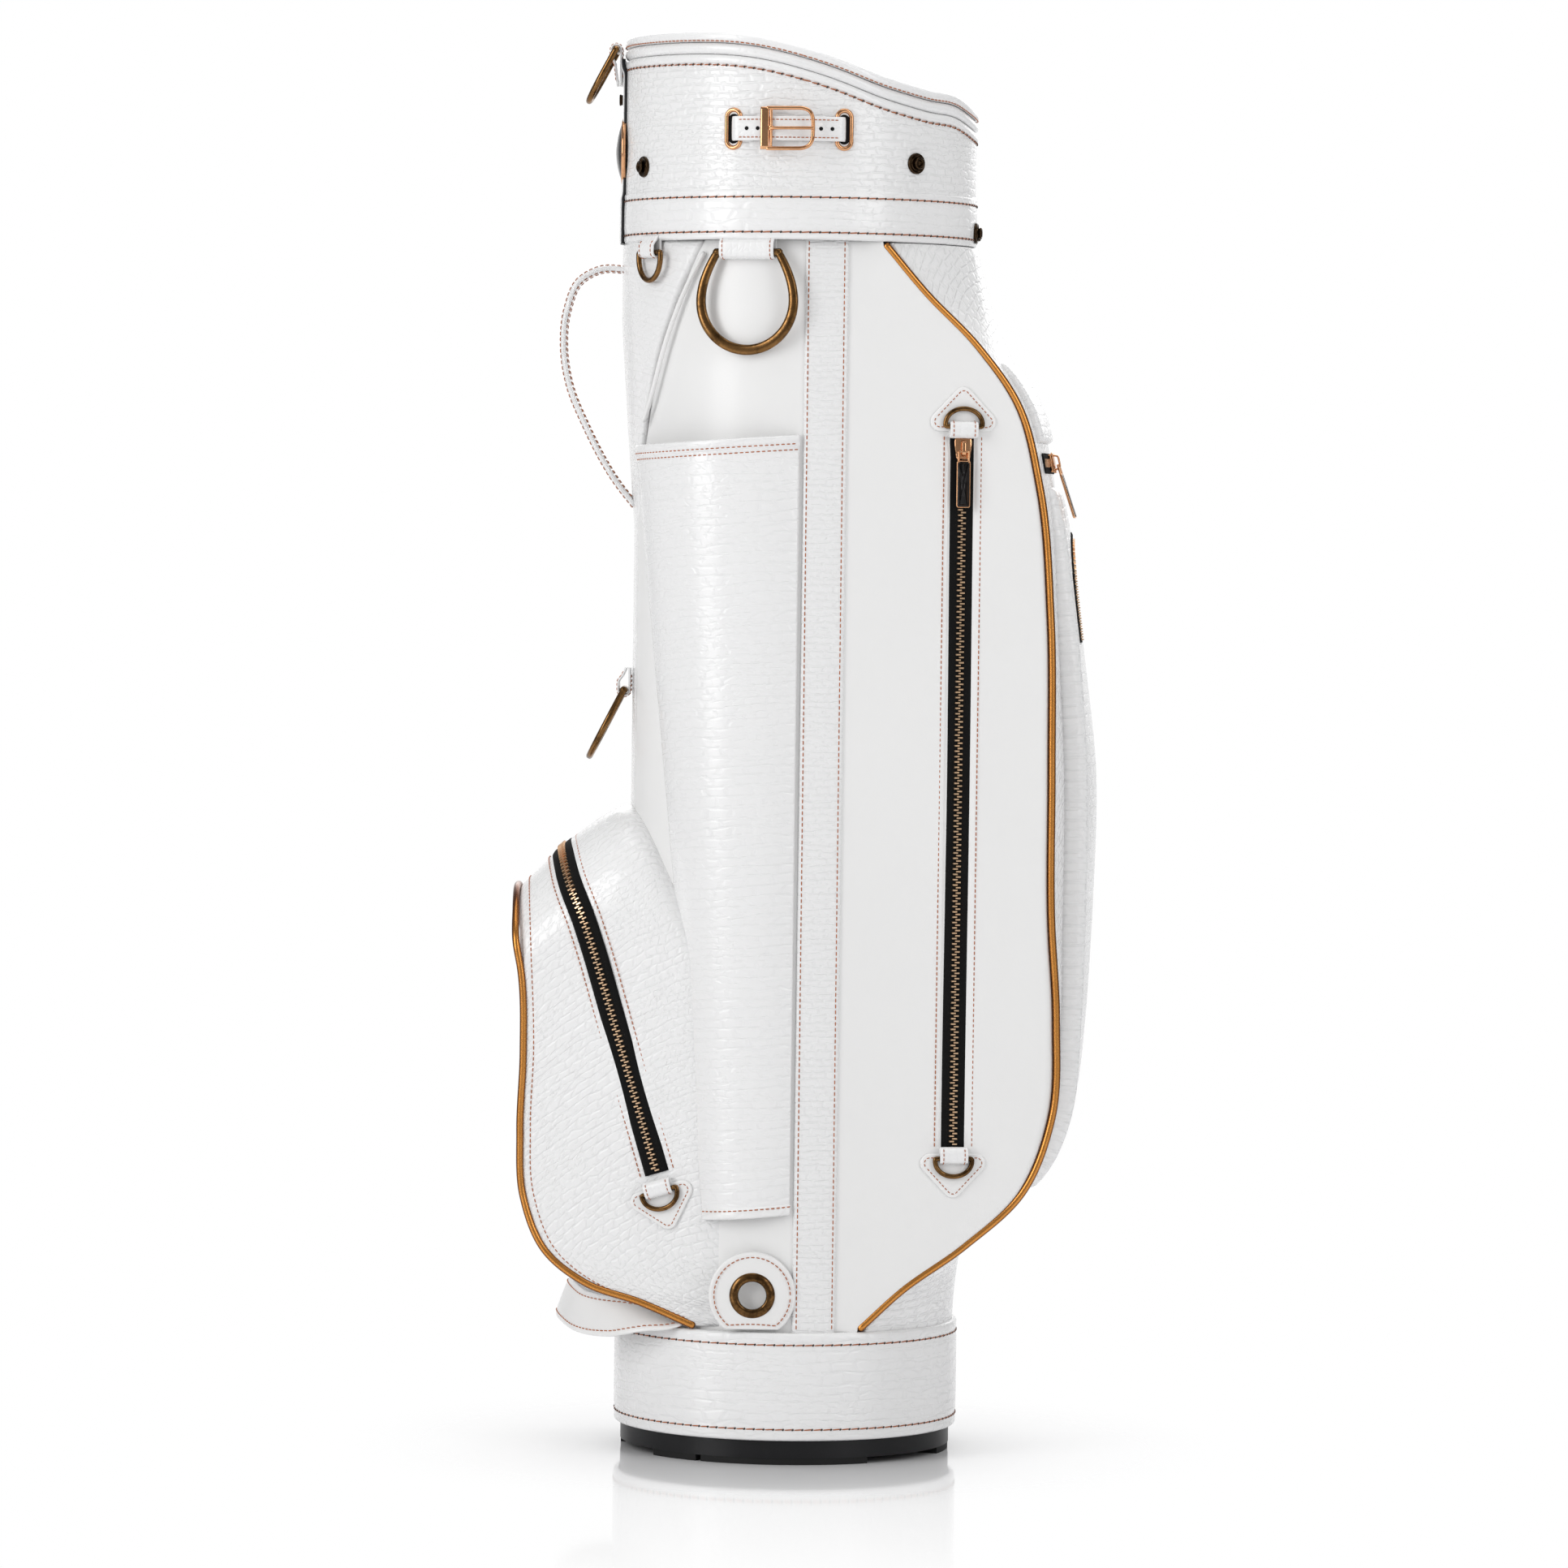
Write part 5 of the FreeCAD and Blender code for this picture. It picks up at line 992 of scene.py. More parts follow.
# ---- umbrella sleeve --------------------------------------------------------------------------------
# A tapering croc sleeve stands out from the tube on one side. Bound and stitched edges close its two
# mouths. Below it, a round leather tab with a brass eyelet holds the umbrella's tip.
TAPER = ((660.0, ((-103.8, -39.0), (-66.0, -98.0), (1.6, -104.4))),
         (130.0, ((-50.4, -94.0), (-24.0, -108.6), (1.6, -104.4))))
MOUTHS = ((143.5, 157.0), (625.5, 636.0))
SLEEVE_WALL, BINDING = 1.7, 7.0


def sleeve_point(s, z):
    """A point of the sleeve: share s of the arc through three points, which move evenly from foot to top."""
    t = (z - TAPER[1][0]) / (TAPER[0][0] - TAPER[1][0])
    a, b, c = (np.array([lo[k] + (hi[k] - lo[k]) * t for k in (0, 1)]) for hi, lo in zip(TAPER[0][1], TAPER[1][1]))
    ab, ac = b - a, c - a
    cross = 2 * (ab[0] * ac[1] - ab[1] * ac[0])
    ab_2, ac_2 = (ab**2).sum(0), (ac**2).sum(0)
    centre = a + np.array([ac[1] * ab_2 - ab[1] * ac_2, ab[0] * ac_2 - ac[0] * ab_2]) / cross
    r = np.hypot(*(a - centre))
    first, last = (np.arctan2(*(p - centre)[::-1]) % TURN for p in (a, c))
    turn = first + (last - first) * s
    return grid_of(centre[0] + r * np.cos(turn), centre[1] + r * np.sin(turn), z)


def sleeve_mouth(which, s, drop=0.0):
    """Height of a mouth's sloping edge at share s, found by three passes because the sleeve tapers."""
    low, high = MOUTHS[which]
    z = np.full_like(s, (low + high) / 2)
    for _ in range(3):
        z = low + (sleeve_point(s, z)[..., 0] + 120) / 150 * (high - low)
    return z - drop


s = np.linspace(0, 1, 90)[:, None]
foot, top = sleeve_mouth(0, s), sleeve_mouth(1, s)
SLEEVE_LONG = 478.0
near_edge = np.linspace(-0.8, 0.8, 5)
share = [spaced(0, SLEEVE_LONG, 5.0, 2.0), BINDING + near_edge, SLEEVE_LONG - BINDING + near_edge]
share = np.unique(np.concatenate(share))[None, :] / SLEEVE_LONG
z = foot + (top - foot) * share
grid = sleeve_point(s + 0 * z, z)
edge = np.minimum(z - foot, top - z)
bound = 0.8 * np.clip((BINDING - edge) / 0.8, 0, 1) + 0.8 * np.sin(z / 47) * np.sin(s * 3.1) * np.clip(edge / 40, 0, 1)
leather("umbrella_sleeve_leather", grid, SLEEVE_WALL, broad_croc, 1.0, (1, 0, 1, 1), bound, hides=["umbrella_sleeve"])
fine = np.linspace(0.02, 0.985, 260)
rows = []
for which, drop in ((0, -BINDING + 1.6), (1, BINDING - 1.6), (1, BINDING + 2.0)):
    row = sleeve_point(fine, sleeve_mouth(which, fine, drop))
    out = unit(np.cross(np.gradient(row, axis=0), (0, 0, 1.0)))
    rows.append((row + out * (0.75 if abs(drop) < BINDING else 0.0), out))
thread("umbrella_sleeve_stitching", rows, fine_thread, 3.4, 2.6, 0.36)


def rounded(corners, r, count=9):
    """An outline in the XZ plane, and its normals: a polygon of corner centres, anticlockwise, grown by r."""
    corners = np.asarray(corners, float)
    ahead = np.roll(corners, -1, axis=0) - corners
    end = np.arctan2(ahead[:, 1], ahead[:, 0]) - math.pi / 2
    start = np.roll(end, 1)
    turn = start[:, None] + ((end - start) % TURN)[:, None] * np.linspace(0, 1, count)[None, :]
    out = np.stack([np.cos(turn), 0 * turn, np.sin(turn)], axis=-1)
    middle = np.stack([corners[:, 0], 0 * corners[:, 0], corners[:, 1]], axis=-1)
    return (middle[:, None] + r * out).reshape(-1, 3), out.reshape(-1, 3)


def plate(outline, out, levels):
    """Rings of a plate: its outline moved in by an inset and out by a rise, level by level."""
    return np.stack([outline - out * inset - np.array([0, rise, 0]) for inset, rise in levels])


TAB_X, TAB_Z, TAB_Y, TAB_R, EYE_R = -20.8, 104.8, -103.85, 27.0, 8.6
TAB_FOOT = 83.6     # the tab is cut level here, above the base band
turn = np.linspace(0, TURN, 145)[:, None]
down = np.maximum(-np.sin(turn), 1e-3)
reach = np.minimum(TAB_R, (TAB_Z - TAB_FOOT) / down)
r = EYE_R + 0.9 + (reach - EYE_R - 0.9) * spaced(0, 18, 1.5, 1.6)[None, :] / 18
dish = 1.6 * ((r * np.cos(turn)) / TAB_R) ** 2
tab = np.stack([TAB_X + r * np.cos(turn), TAB_Y - 2.2 + dish * 0.6 + 0 * r, TAB_Z + r * np.sin(turn)], axis=-1)
leather("umbrella_tab_leather", tab, 2.1, calf, 1.0, (0, 0, 1, 1), inside=(TAB_X, 0, TAB_Z), ring=True,
        slot="smooth_leather", hides=["umbrella_tab"])
turn = np.linspace(0, TURN, 200)
reach = np.minimum(TAB_R, (TAB_Z - TAB_FOOT) / np.maximum(-np.sin(turn), 1e-3)) - 3.5
row = np.stack([TAB_X + reach * np.cos(turn), 0 * turn + TAB_Y - 2.25, TAB_Z + reach * np.sin(turn)], axis=1)
thread("umbrella_tab_stitching", [(row, np.array([[0, -1.0, 0]] * 200))], fine_thread, 3.2, 2.4, 0.34)
EYELET = [(EYE_R, -0.3), (EYE_R, 2.9), (EYE_R + 0.5, 3.7), (EYE_R + 1.6, 4.05), (EYE_R + 3.0, 3.85), (13.2, 3.0),
          (14.0, 2.35), (14.0, 2.1), (9.4, 2.1), (9.3, -0.3)]
shell("umbrella_eyelet_ring", lathe(EYELET, 72) + (TAB_X, TAB_Y + 0.1, TAB_Z), antique_brass, closed=True,
      hides=["umbrella_eyelet"])

# ---- zips -------------------------------------------------------------------------------------------
# A zip is a woven black tape with two rows of brass teeth that mesh, a rose gold slider, and a flat pull
# with a black enamel face.
tape_cloth = woven("cloth_zip_tape", (0.004, 0.004, 0.004), 420.0, 420.0, 0.12)
tooth_brass = metal("metal_zip_brass", (0.95, 0.66, 0.42), (0.8, 0.5, 0.28), 0.3, 0.3, 200.0)
TAPE_HALF, TEETH_PITCH, TEETH_REACH = 8.8, 3.3, 2.7


def ribbon(path, normal, half, count=9):
    """A grid either side of a path, across by along."""
    side = unit(np.cross(normal, np.gradient(path, axis=0)))
    return path[None] + side[None] * np.linspace(-half, half, count)[:, None, None]


def zip_line(name, path, normal, half=TAPE_HALF, rise=0.0, **kinds):
    """A tape along a path with teeth that alternate from side to side, each a tapered block."""
    grid = ribbon(path, normal, half)
    below = (path - normal * 900).mean(axis=0)
    leather(name + "_tape", grid, 0.7, tape_cloth, 0.4, (1, 1, 0, 0), inside=below, slot="zip_tape", **kinds)
    far_along = run_length(path)
    at = np.arange(2.0, far_along[-1] - 2.0, TEETH_PITCH / 2)
    place = sample(at, far_along, path)
    up = sample(at, far_along, normal)
    ahead = unit(np.gradient(place, axis=0))
    side = np.cross(up, ahead) * np.where(np.arange(len(at)) % 2, 1, -1)[:, None]
    block = np.array([(a * 0.55, s, 0.0) for s in (-0.7, TEETH_REACH) for a in (-1, 1)] +
                     [(a * 0.42, s, 1.3) for s in (-0.5, TEETH_REACH - 0.35) for a in (-1, 1)])
    corners = place[:, None] + ahead[:, None] * block[None, :, :1] + side[:, None] * block[None, :, 1:2]
    corners = corners + up[:, None] * block[None, :, 2:]
    box = np.array([(0, 1, 3, 2), (4, 6, 7, 5), (0, 4, 5, 1), (2, 3, 7, 6), (0, 2, 6, 4), (1, 5, 7, 3)])
    faces = (box[None] + np.arange(len(at))[:, None, None] * 8).reshape(-1, 4)
    far = kinds.get("far", False)
    uv = corners.reshape(-1, 3)[:, [0, 2]]
    new_piece(name + "_teeth", corners, faces, uv, tooth_brass, "zip_tape", smooth=False, far=far)


PULL_Y, PULL_Z = -4.25, -1.9


def zip_slider(name, place, slider, pull, far=False, tip=0.0):
    """A slider (plate, two rails and a bridge) and its pull (eye, arms and a rimmed plate with an enamel face)."""
    gold = dict(slot="rose_gold", far=far)
    z = np.linspace(-6.4, 6.4, 15)
    width = 9.0 + 1.9 / (1 + np.exp(-(z + 1.0) / 1.2)) - 1.2 * np.clip((np.abs(z) - 5.2) / 1.2, 0, 1)
    section = rounded_bar(1.0, 1.0, 20, 3.0)
    rings = sweep(np.stack([0 * z, 0 * z - 1.75, z], axis=1), (1, 0, 0), section)
    rings = rings * np.stack([width, 0 * z + 1, 0 * z + 1], axis=1)[:, None] + (rings - (0, -1.75, 0)) * (0, 0.35, 0)
    shell(name + "_plate", place(rings), rose_gold, slider, hides=[slider], **gold)
    for k, s in enumerate((-1, 1)):
        rail = np.stack([s * (width / 2 - 0.75), 0 * z - 0.4, z], axis=1)[1:-1]
        rail = sweep(rail, (1, 0, 0), rounded_bar(1.3, 1.9, 12, 3.0))
        shell(f"{name}_rail_{k}", place(rail), rose_gold, slider, **gold)
    bridge = [(0, -2.0, 4.6), (0, -5.0, 3.8), (0, -5.2, 0.5), (0, -5.2, -3.4), (0, -2.0, -4.6)]
    bridge = sweep(spread(bridge, 0.6, 1.6), (1, 0, 0), rounded_bar(2.6, 1.2, 14, 3.0))
    shell(name + "_bridge", place(bridge), rose_gold, slider, **gold)

    def hung(points):
        return place(placed(points - (0, PULL_Y, PULL_Z), (0, PULL_Y, PULL_Z), tip=tip))

    eye = [(-3.1, PULL_Y, PULL_Z - 7), (-3.1, PULL_Y, PULL_Z), (3.1, PULL_Y, PULL_Z), (3.1, PULL_Y, PULL_Z - 7)]
    wire(name + "_pull_eye", eye, 0.72, rose_gold, 0.5, 1.0, hung, 12, body=pull, hides=[pull], **gold)
    outline, out = rounded([(-2.9, -33.1), (2.9, -33.1), (2.9, -6.9), (-2.9, -6.9)], 1.4, 7)
    outline = outline + (0, PULL_Y + 0.75, PULL_Z)
    rim = [(0.5, 0.0), (0.1, 0.25), (0.0, 0.7), (0.1, 1.25), (0.3, 1.45), (0.5, 1.45), (0.7, 1.2)]
    shell(name + "_pull_rim", hung(plate(outline, out, rim)), rose_gold, pull, **gold)
    face = [(0.6, 1.0), (0.6, 1.3), (0.9, 1.42), (2.2, 1.5)]
    shell(name + "_pull_face", hung(plate(outline, out, face)), dark_enamel, pull, slot="rose_gold", far=far)


def corner_patch(name, place, ring, up, far=False, hides=()):
    """A rounded triangle of leather at a zip's end, a folded loop on it, and a D-ring in the loop."""
    outline, out = rounded([(-14.5, 3), (14.5, 3), (0, 18.5)], 6.0)
    flip = (1, 1, up)
    levels = [(0.2, 0.1), (0.0, 0.5), (0.3, 1.1), (0.9, 1.45), (1.8, 1.5), (3.6, 1.55)]
    shell(name, place(plate(outline, out, levels) * flip), calf, slot="smooth_leather", hides=hides, far=far)
    path = np.concatenate([outline, outline[:1]]) - np.concatenate([out, out[:1]]) * 2.6 + (0, -1.5, 0)
    facing_out = turned(place, np.array([[0, -1.0, 0]]))
    row = (place(path * flip), np.repeat(facing_out, len(path), axis=0))
    thread(name + "_stitching", [row], fine_thread, 2.7, 2.0, 0.3, far=far)
    lifted = np.array([0, -3.4, 0])
    folded_loop(name + "_loop", 8.8, 1.5, 6.5, lambda p: place(p * (1, 1, -up) + lifted), far=far)
    d_bow(name + "_ring", 13.0, 12.5, 1.5, lambda p: place(p + lifted), ring, [ring], -up, far)


# ---- apparel pocket ---------------------------------------------------------------------------------
# The long pocket has two flat calf sides that lean out from the side strips, each with a full-length
# zip, and a round croc front. Bronze piping covers the seams between them.
SIDE_X, SIDE_Y, SIDE_LEAN = 31.5, -97.6, 7.4
LEAN = math.radians(SIDE_LEAN)
PIPING_R, LEATHER_T = 2.3, 2.5
PIPING = [(53, 751), (78, 722), (111, 689), (136, 654), (150, 604), (158, 524), (160, 429), (161, 339), (165, 274),
          (163, 214), (146, 169), (110, 135), (71, 107), (46, 84)]
FRONT_APEX = [(84, 104.8), (107, 106.5), (135, 112), (169, 152), (214, 166), (274, 172.5), (339, 175.5), (429, 176),
              (524, 167.5), (581, 164), (619, 159.5), (654, 149.5), (669, 141.5), (689, 131.5), (722, 119), (751, 111.5)]
ZIP_U, ZIP_LOW, ZIP_HIGH = (101.8 - SIDE_X) / math.cos(LEAN), 196.0, 634.0

bronze_piping, tree, shader = new_material("leather_bronze_piping")
place = add(tree, "TexCoord").outputs["Object"]
pores = grain_height(tree, place, 900.0)
bronze = soft_tint(tree, place, (0.8, 0.36, 0.09), (0.62, 0.25, 0.05), 40.0)
# The piping's colour turns dark brown where its surface turns away from the camera: painted shade and painted highlight
# standing in for light on a glossy round cord.
side_on = add(tree, "LayerWeight", [("Blend", 0.5)]).outputs["Facing"]
painted_edge_shade = add(tree, "MapRange", [(0, side_on), (1, 0.06), (2, 0.5)]).outputs[0]
bumps(tree, shader, pores, 0.15, 0.0001)
drive(tree, shader, Base_Color=blend(tree, painted_edge_shade, bronze, (0.15, 0.042, 0.008)),
      Roughness=add(tree, "MapRange", [(0, pores), (3, 0.2), (4, 0.3)]).outputs[0])
shader.inputs["Metallic"].default_value = 0.9


def on_side(points):
    """Moves a piece made at y 0, with x measured from the strip, onto the near side panel."""
    return placed(points, (SIDE_X, SIDE_Y, 0), SIDE_LEAN)


def side_at(z):
    return lambda points: on_side(points + (ZIP_U, 0, z))


PIPE = curve([((x - SIDE_X) / math.cos(LEAN), 0, z) for x, z in PIPING], 1.5)


def pipe_u(z):
    """How far out the piping lies on the side panel at height z."""
    return np.interp(z, PIPE[::-1, 2], PIPE[::-1, 0])


z = spaced(80.5, 754.5, 3.0, 1.0)
z = np.unique(np.concatenate([z, [ZIP_LOW - 0.5, ZIP_LOW, ZIP_HIGH, ZIP_HIGH + 0.5]]))[None, :]
edge = np.maximum(pipe_u(z) - 1.6, 2.0)
near_zip, past_zip = np.minimum(ZIP_U - 9.2, 0.54 * edge), np.minimum(ZIP_U + 9.2, 0.73 * edge)
by_zip = 1 + np.array([0.03, 0.07, 0.12, 0.5, 0.88, 0.93, 0.97])
s = np.concatenate([np.linspace(0, 1, 22), by_zip, np.linspace(2, 3, 18)])[:, None]
SEAM_U = 5.0      # how far the side panel runs in under the strip
u = np.where(s < 2, near_zip + (s - 1) * (past_zip - near_zip), past_zip + (s - 2) * (edge - past_zip))
u = np.where(s < 1, s * (near_zip + SEAM_U) - SEAM_U, u)
sunk = np.clip((s - 1) / 0.1, 0, 1) * np.clip((2 - s) / 0.1, 0, 1) * ((z > ZIP_LOW - 0.2) & (z < ZIP_HIGH + 0.2))
wave = 0.5 * np.sin(z / 61 + 1) * np.sin(u / 23) * np.clip(np.minimum(u + 3, edge - u) / 15, 0, 1)
grid = on_side(grid_of(u, 0 * u, z))
side_leather = dict(thick=2.4, material=calf, edge=0.8, roll=(0, 1, 1, 1), lift=wave - 1.1 * sunk,
                    inside=(60, 0, 400), slot="smooth_leather")
FRONT_Z = curve([(apex, 0, at) for at, apex in FRONT_APEX], 2.0)
seam = on_side(PIPE + (0, 1.2, 0))
zip_z = np.linspace(ZIP_LOW + 0.3, ZIP_HIGH - 0.3, 220)
zip_path = on_side(np.stack([0 * zip_z + ZIP_U, 0 * zip_z + 0.85, zip_z], axis=1))
side_out = np.repeat(turned(on_side, np.array([[0, -1.0, 0]])), 220, axis=0)
for side, far in SIDES:
    leather(f"apparel_side_leather_{side}", grid, far=far, hides=on_near(far, "apparel_sides"), **side_leather)
    wire(f"apparel_piping_cord_{side}", seam, PIPING_R, bronze_piping, 2.0, 3.0, slot="bronze_piping", far=far,
         hides=on_near(far, "apparel_piping"))
    zip_line(f"apparel_zip_{side}", zip_path, side_out, far=far, hides=on_near(far, "apparel_zips"))
    rows = [(zip_path + turned(on_side, np.array([[s * 11.6, -0.87, 0]])), side_out) for s in (-1, 1)]
    thread(f"apparel_zip_stitching_{side}", rows, fine_thread, 3.2, 2.4, 0.34, far=far)
    zip_slider(f"apparel_slider_{side}_zip", side_at(627.0), f"apparel_slider_{side}", f"apparel_pull_{side}", far)
    corner_patch(f"apparel_tab_high_{side}", side_at(640.5), f"tab_ring_high_{side}", 1, far,
                 on_near(far, "apparel_tabs"))
    corner_patch(f"apparel_tab_low_{side}", side_at(189.5), f"tab_ring_low_{side}", -1, far)


def front_arc(z):
    """Centre and radius of the pocket's front at height z: the circle through both seams and the apex."""
    x = SIDE_X + pipe_u(z) * math.cos(LEAN)
    half = -(SIDE_Y + (x - SIDE_X) * math.tan(LEAN)) - 1.2
    apex = np.maximum(np.interp(z, FRONT_Z[:, 2], FRONT_Z[:, 0]), x + 2.5)
    r = (half**2 + (apex - x) ** 2) / (2 * (apex - x))
    return apex - r, r, np.arctan2(half, x - (apex - r)) - 2.2 / r


front_croc = croc_leather("croc_front", 12.0, 6.5, 0.3, 0.42, 0.2)
z = spaced(80.5, 752.8, 4.0, 1.0)[None, :]
centre, r, half = front_arc(z)
turn = half * np.linspace(-1, 1, 121)[:, None]
r = r + 0.5 * np.sin(z / 33) * np.sin(turn * 9) * np.clip((half - np.abs(turn)) * 8, 0, 1)
front = grid_of(centre + r * np.cos(turn), r * np.sin(turn), z)
leather("apparel_front_leather", front, LEATHER_T, front_croc, 1.0, inside=(40, 0, 400), hides=["apparel_front"])

# ---- pouch and yoke on the apparel pocket -----------------------------------------------------------
# A padded croc pouch stands on the pocket's front, with a zip in the shape of an arch let into it. Above
# it a short zip runs across, under a croc yoke.
POUCH_HALF, YOKE_HALF = 60.0, 68.0
POUCH = [(3.5, 166), (9, 182), (12, 207), (12.6, 274), (13.5, 339), (13.5, 429), (12, 511), (9, 560), (6, 598),
         (3.5, 606)]
YOKE = [(4.0, 632), (4.6, 654), (4.2, 672), (1.4, 681)]
ARCH_TOP, ARCH_LOW, ARCH_HALF, ARCH_R, FRONT_ZIP_Z = 570.0, 508.0, 40.0, 26.0, 619.0


def on_front(y, z, rise):
    """A point on the pocket's front at a rise over it."""
    centre, r, _ = front_arc(z)
    return grid_of(centre + np.sqrt((r + rise) ** 2 - y**2), y, z)


y, z = spaced(-POUCH_HALF, POUCH_HALF, 1.6, 7.0)[:, None], spaced(166.5, 605.5, 2.0, 7.0)[None, :]
rise = read_table(POUCH, z, 12)
ay = np.abs(y)
from_arch = np.where(z < ARCH_TOP - ARCH_R, np.abs(ay - ARCH_HALF),
                     np.abs(np.hypot(np.maximum(ay - ARCH_HALF + ARCH_R, 0), z - ARCH_TOP + ARCH_R) - ARCH_R))
sunk = np.clip((7.6 - from_arch) / 1.4, 0, 1) * np.clip((z - ARCH_LOW + 2) / 2, 0, 1)
bulge = 1.2 * np.cos(y / POUCH_HALF * 1.4) * np.sin((z - 166) / 440 * math.pi) + 0.5 * np.sin(z / 24) * np.sin(y / 15)
pouch = leather("front_pouch_leather", on_front(y, z, rise), rise + 1.2, front_croc, 6.5, lift=bulge - 0.9 * sunk - 0.6,
                inside=(40, 0, 400), hides=["front_pouch"])
y, z = spaced(-YOKE_HALF, YOKE_HALF, 2.5, 3.0)[:, None], spaced(632.0, 681.0, 2.0, 3.0)[None, :]
rise = read_table(YOKE, z, 4)
leather("front_yoke_leather", on_front(y, z, rise), rise + 0.8, front_croc, 2.6, inside=(40, 0, 400),
        hides=["front_yoke"])

arch = [(-ARCH_HALF, ARCH_LOW), (-ARCH_HALF, ARCH_TOP), (ARCH_HALF, ARCH_TOP), (ARCH_HALF, ARCH_LOW)]
arch = spread([(0, *corner) for corner in arch], 2.0, 30.0)
y, z = arch[:, 1], arch[:, 2]
path = on_front(y, z, read_table(POUCH, z, 12) + 0.3)
normal = path - np.stack([front_arc(z)[0], 0 * y, z], axis=1)
normal = unit(normal)
zip_line("front_pouch_zip", path, normal, 6.4, hides=["front_zips"])
centre, r, _ = (float(v) for v in front_arc(np.array(FRONT_ZIP_Z)))
turn = np.radians(np.linspace(-13.6, 13.6, 60))
lean = math.radians(11.0)
out = np.stack([np.cos(turn), np.sin(turn), 0 * turn], axis=1)
zip_up = out * math.cos(lean) + (0, 0, math.sin(lean))
zip_line("front_top_zip", out * (r + 1.1) + (centre, 0, FRONT_ZIP_Z), zip_up, 6.4)


def at_front_slider(points):
    """A slider is made upright and runs sideways here, so it turns a quarter; its pull still hangs down."""
    spot = np.array([centre, 0, FRONT_ZIP_Z]) + (r + 2.1) * np.array([math.cos(a), math.sin(a), 0])
    return placed(points, spot, 90 + math.degrees(a), tip=-11.0)


a = math.radians(-9.6)
zip_slider("front_slider_zip", at_front_slider, "front_slider", "front_pull", tip=-7.5)

# ---- ball pocket ------------------------------------------------------------------------------------
# The ball pocket is a croc gusset that arches from side to side over the foot of the spine, and a flat
# front panel. Bronze piping covers the seam, and one zip runs up both sides and over the top.
BALL_X0, BALL_W0, BALL_LEAN, BALL_FLAT, BALL_FOOT = -60.0, 88.0, 14.0, 9.0, 84.0
BALL_EDGE = [(-177, 385), (-171, 352), (-167, 300), (-165, 250), (-166.5, 200), (-164, 160), (-150, 127),
             (-125, 108), (-90, 97), (-57, 84)]
BALL_TOP = [(338, -180), (350, -170), (374.5, -145), (393.5, -120), (403.5, -104), (400, -88), (386, -74), (372, -40)]
BALL_ZIP = [(-160, 430), (-144, 376), (-137.7, 355), (-129, 336), (-120.5, 311), (-79.2, 172.6)]
EDGE_LINE = curve([(x, 0, z) for x, z in BALL_EDGE], 2.0)
ZIP_LINE = spread([(x, 0, z) for x, z in BALL_ZIP] + [(-60, 0, 108)], 2.0, 12.0)


def half_width(x):
    """Half the pocket's width at x: its sides lean in towards the front."""
    return BALL_W0 + math.tan(math.radians(BALL_LEAN)) * (x - BALL_X0)


def ball_top(x):
    return read_table(BALL_TOP, x, 9)


def arch_point(x, p):
    """A point of the arch at x. p is 0 at the foot, 1 at the shoulder, 2 past the corner and 3 at the middle."""
    w, top = half_width(x), ball_top(x)
    r = w - BALL_FLAT
    turn = np.clip(p - 1, 0, 1) * math.pi / 2
    y = -BALL_FLAT * (1 - np.clip(p - 2, 0, 1)) - r * np.cos(turn)
    z = np.where(p < 1, BALL_FOOT + (top - r - BALL_FOOT) * np.clip(p, 0, 1), top - r + r * np.sin(turn))
    return grid_of(x, y, z)


X_LINE = np.linspace(-182, -30, 1200)[:, None]


def meet(p, test):
    """The x at which a line of constant p first passes a test, which rises through 0 on its way to the tube."""
    value = test(arch_point(X_LINE, p[None, :]))
    k = np.clip(np.argmax(value > 0, axis=0), 1, len(X_LINE) - 1)
    low, high = np.take_along_axis(value, k[None] - 1, 0)[0], np.take_along_axis(value, k[None], 0)[0]
    share = np.clip(-low / np.where(high == low, 1, high - low), 0, 1)
    return X_LINE[k - 1, 0] + share * (X_LINE[1, 0] - X_LINE[0, 0])


def past_line(line):
    """A test of how far a point lies behind a line that falls from the top, in x."""
    return lambda spot: spot[..., 0] - np.interp(spot[..., 2], line[::-1, 2], line[::-1, 0])


edge_test, zip_test = past_line(EDGE_LINE), past_line(ZIP_LINE)


def tube_test(spot):
    reach = np.where(spot[..., 2] < 82.4, 107.7, 101.0)
    return reach - np.hypot(spot[..., 0], spot[..., 1])


ball_croc = croc_leather("croc_ball", 9.0, 5.5, 0.55, 0.28)
p = np.concatenate([np.linspace(0, 1, 60)[:-1], np.linspace(1, 2, 34)[:-1], np.linspace(2, 3, 6)])
front_x, tube_x = meet(p, edge_test), meet(p, tube_test)
x = front_x + (tube_x - front_x) * np.linspace(0, 1, 60)[:, None]
near = arch_point(x, p[None, :])
gusset = np.concatenate([near, near[:, -2::-1] * (1, -1, 1)], axis=1)
sag = 0.6 * np.sin(gusset[..., 2] / 21 + gusset[..., 0] / 30) * np.sin(np.linspace(0, 1, 60) * math.pi)[:, None]
leather("ball_gusset_leather", gusset, LEATHER_T, ball_croc, 1.2, (1, 0, 0, 0), sag, inside=(-80, 0, 220),
        hides=["ball_gusset"])

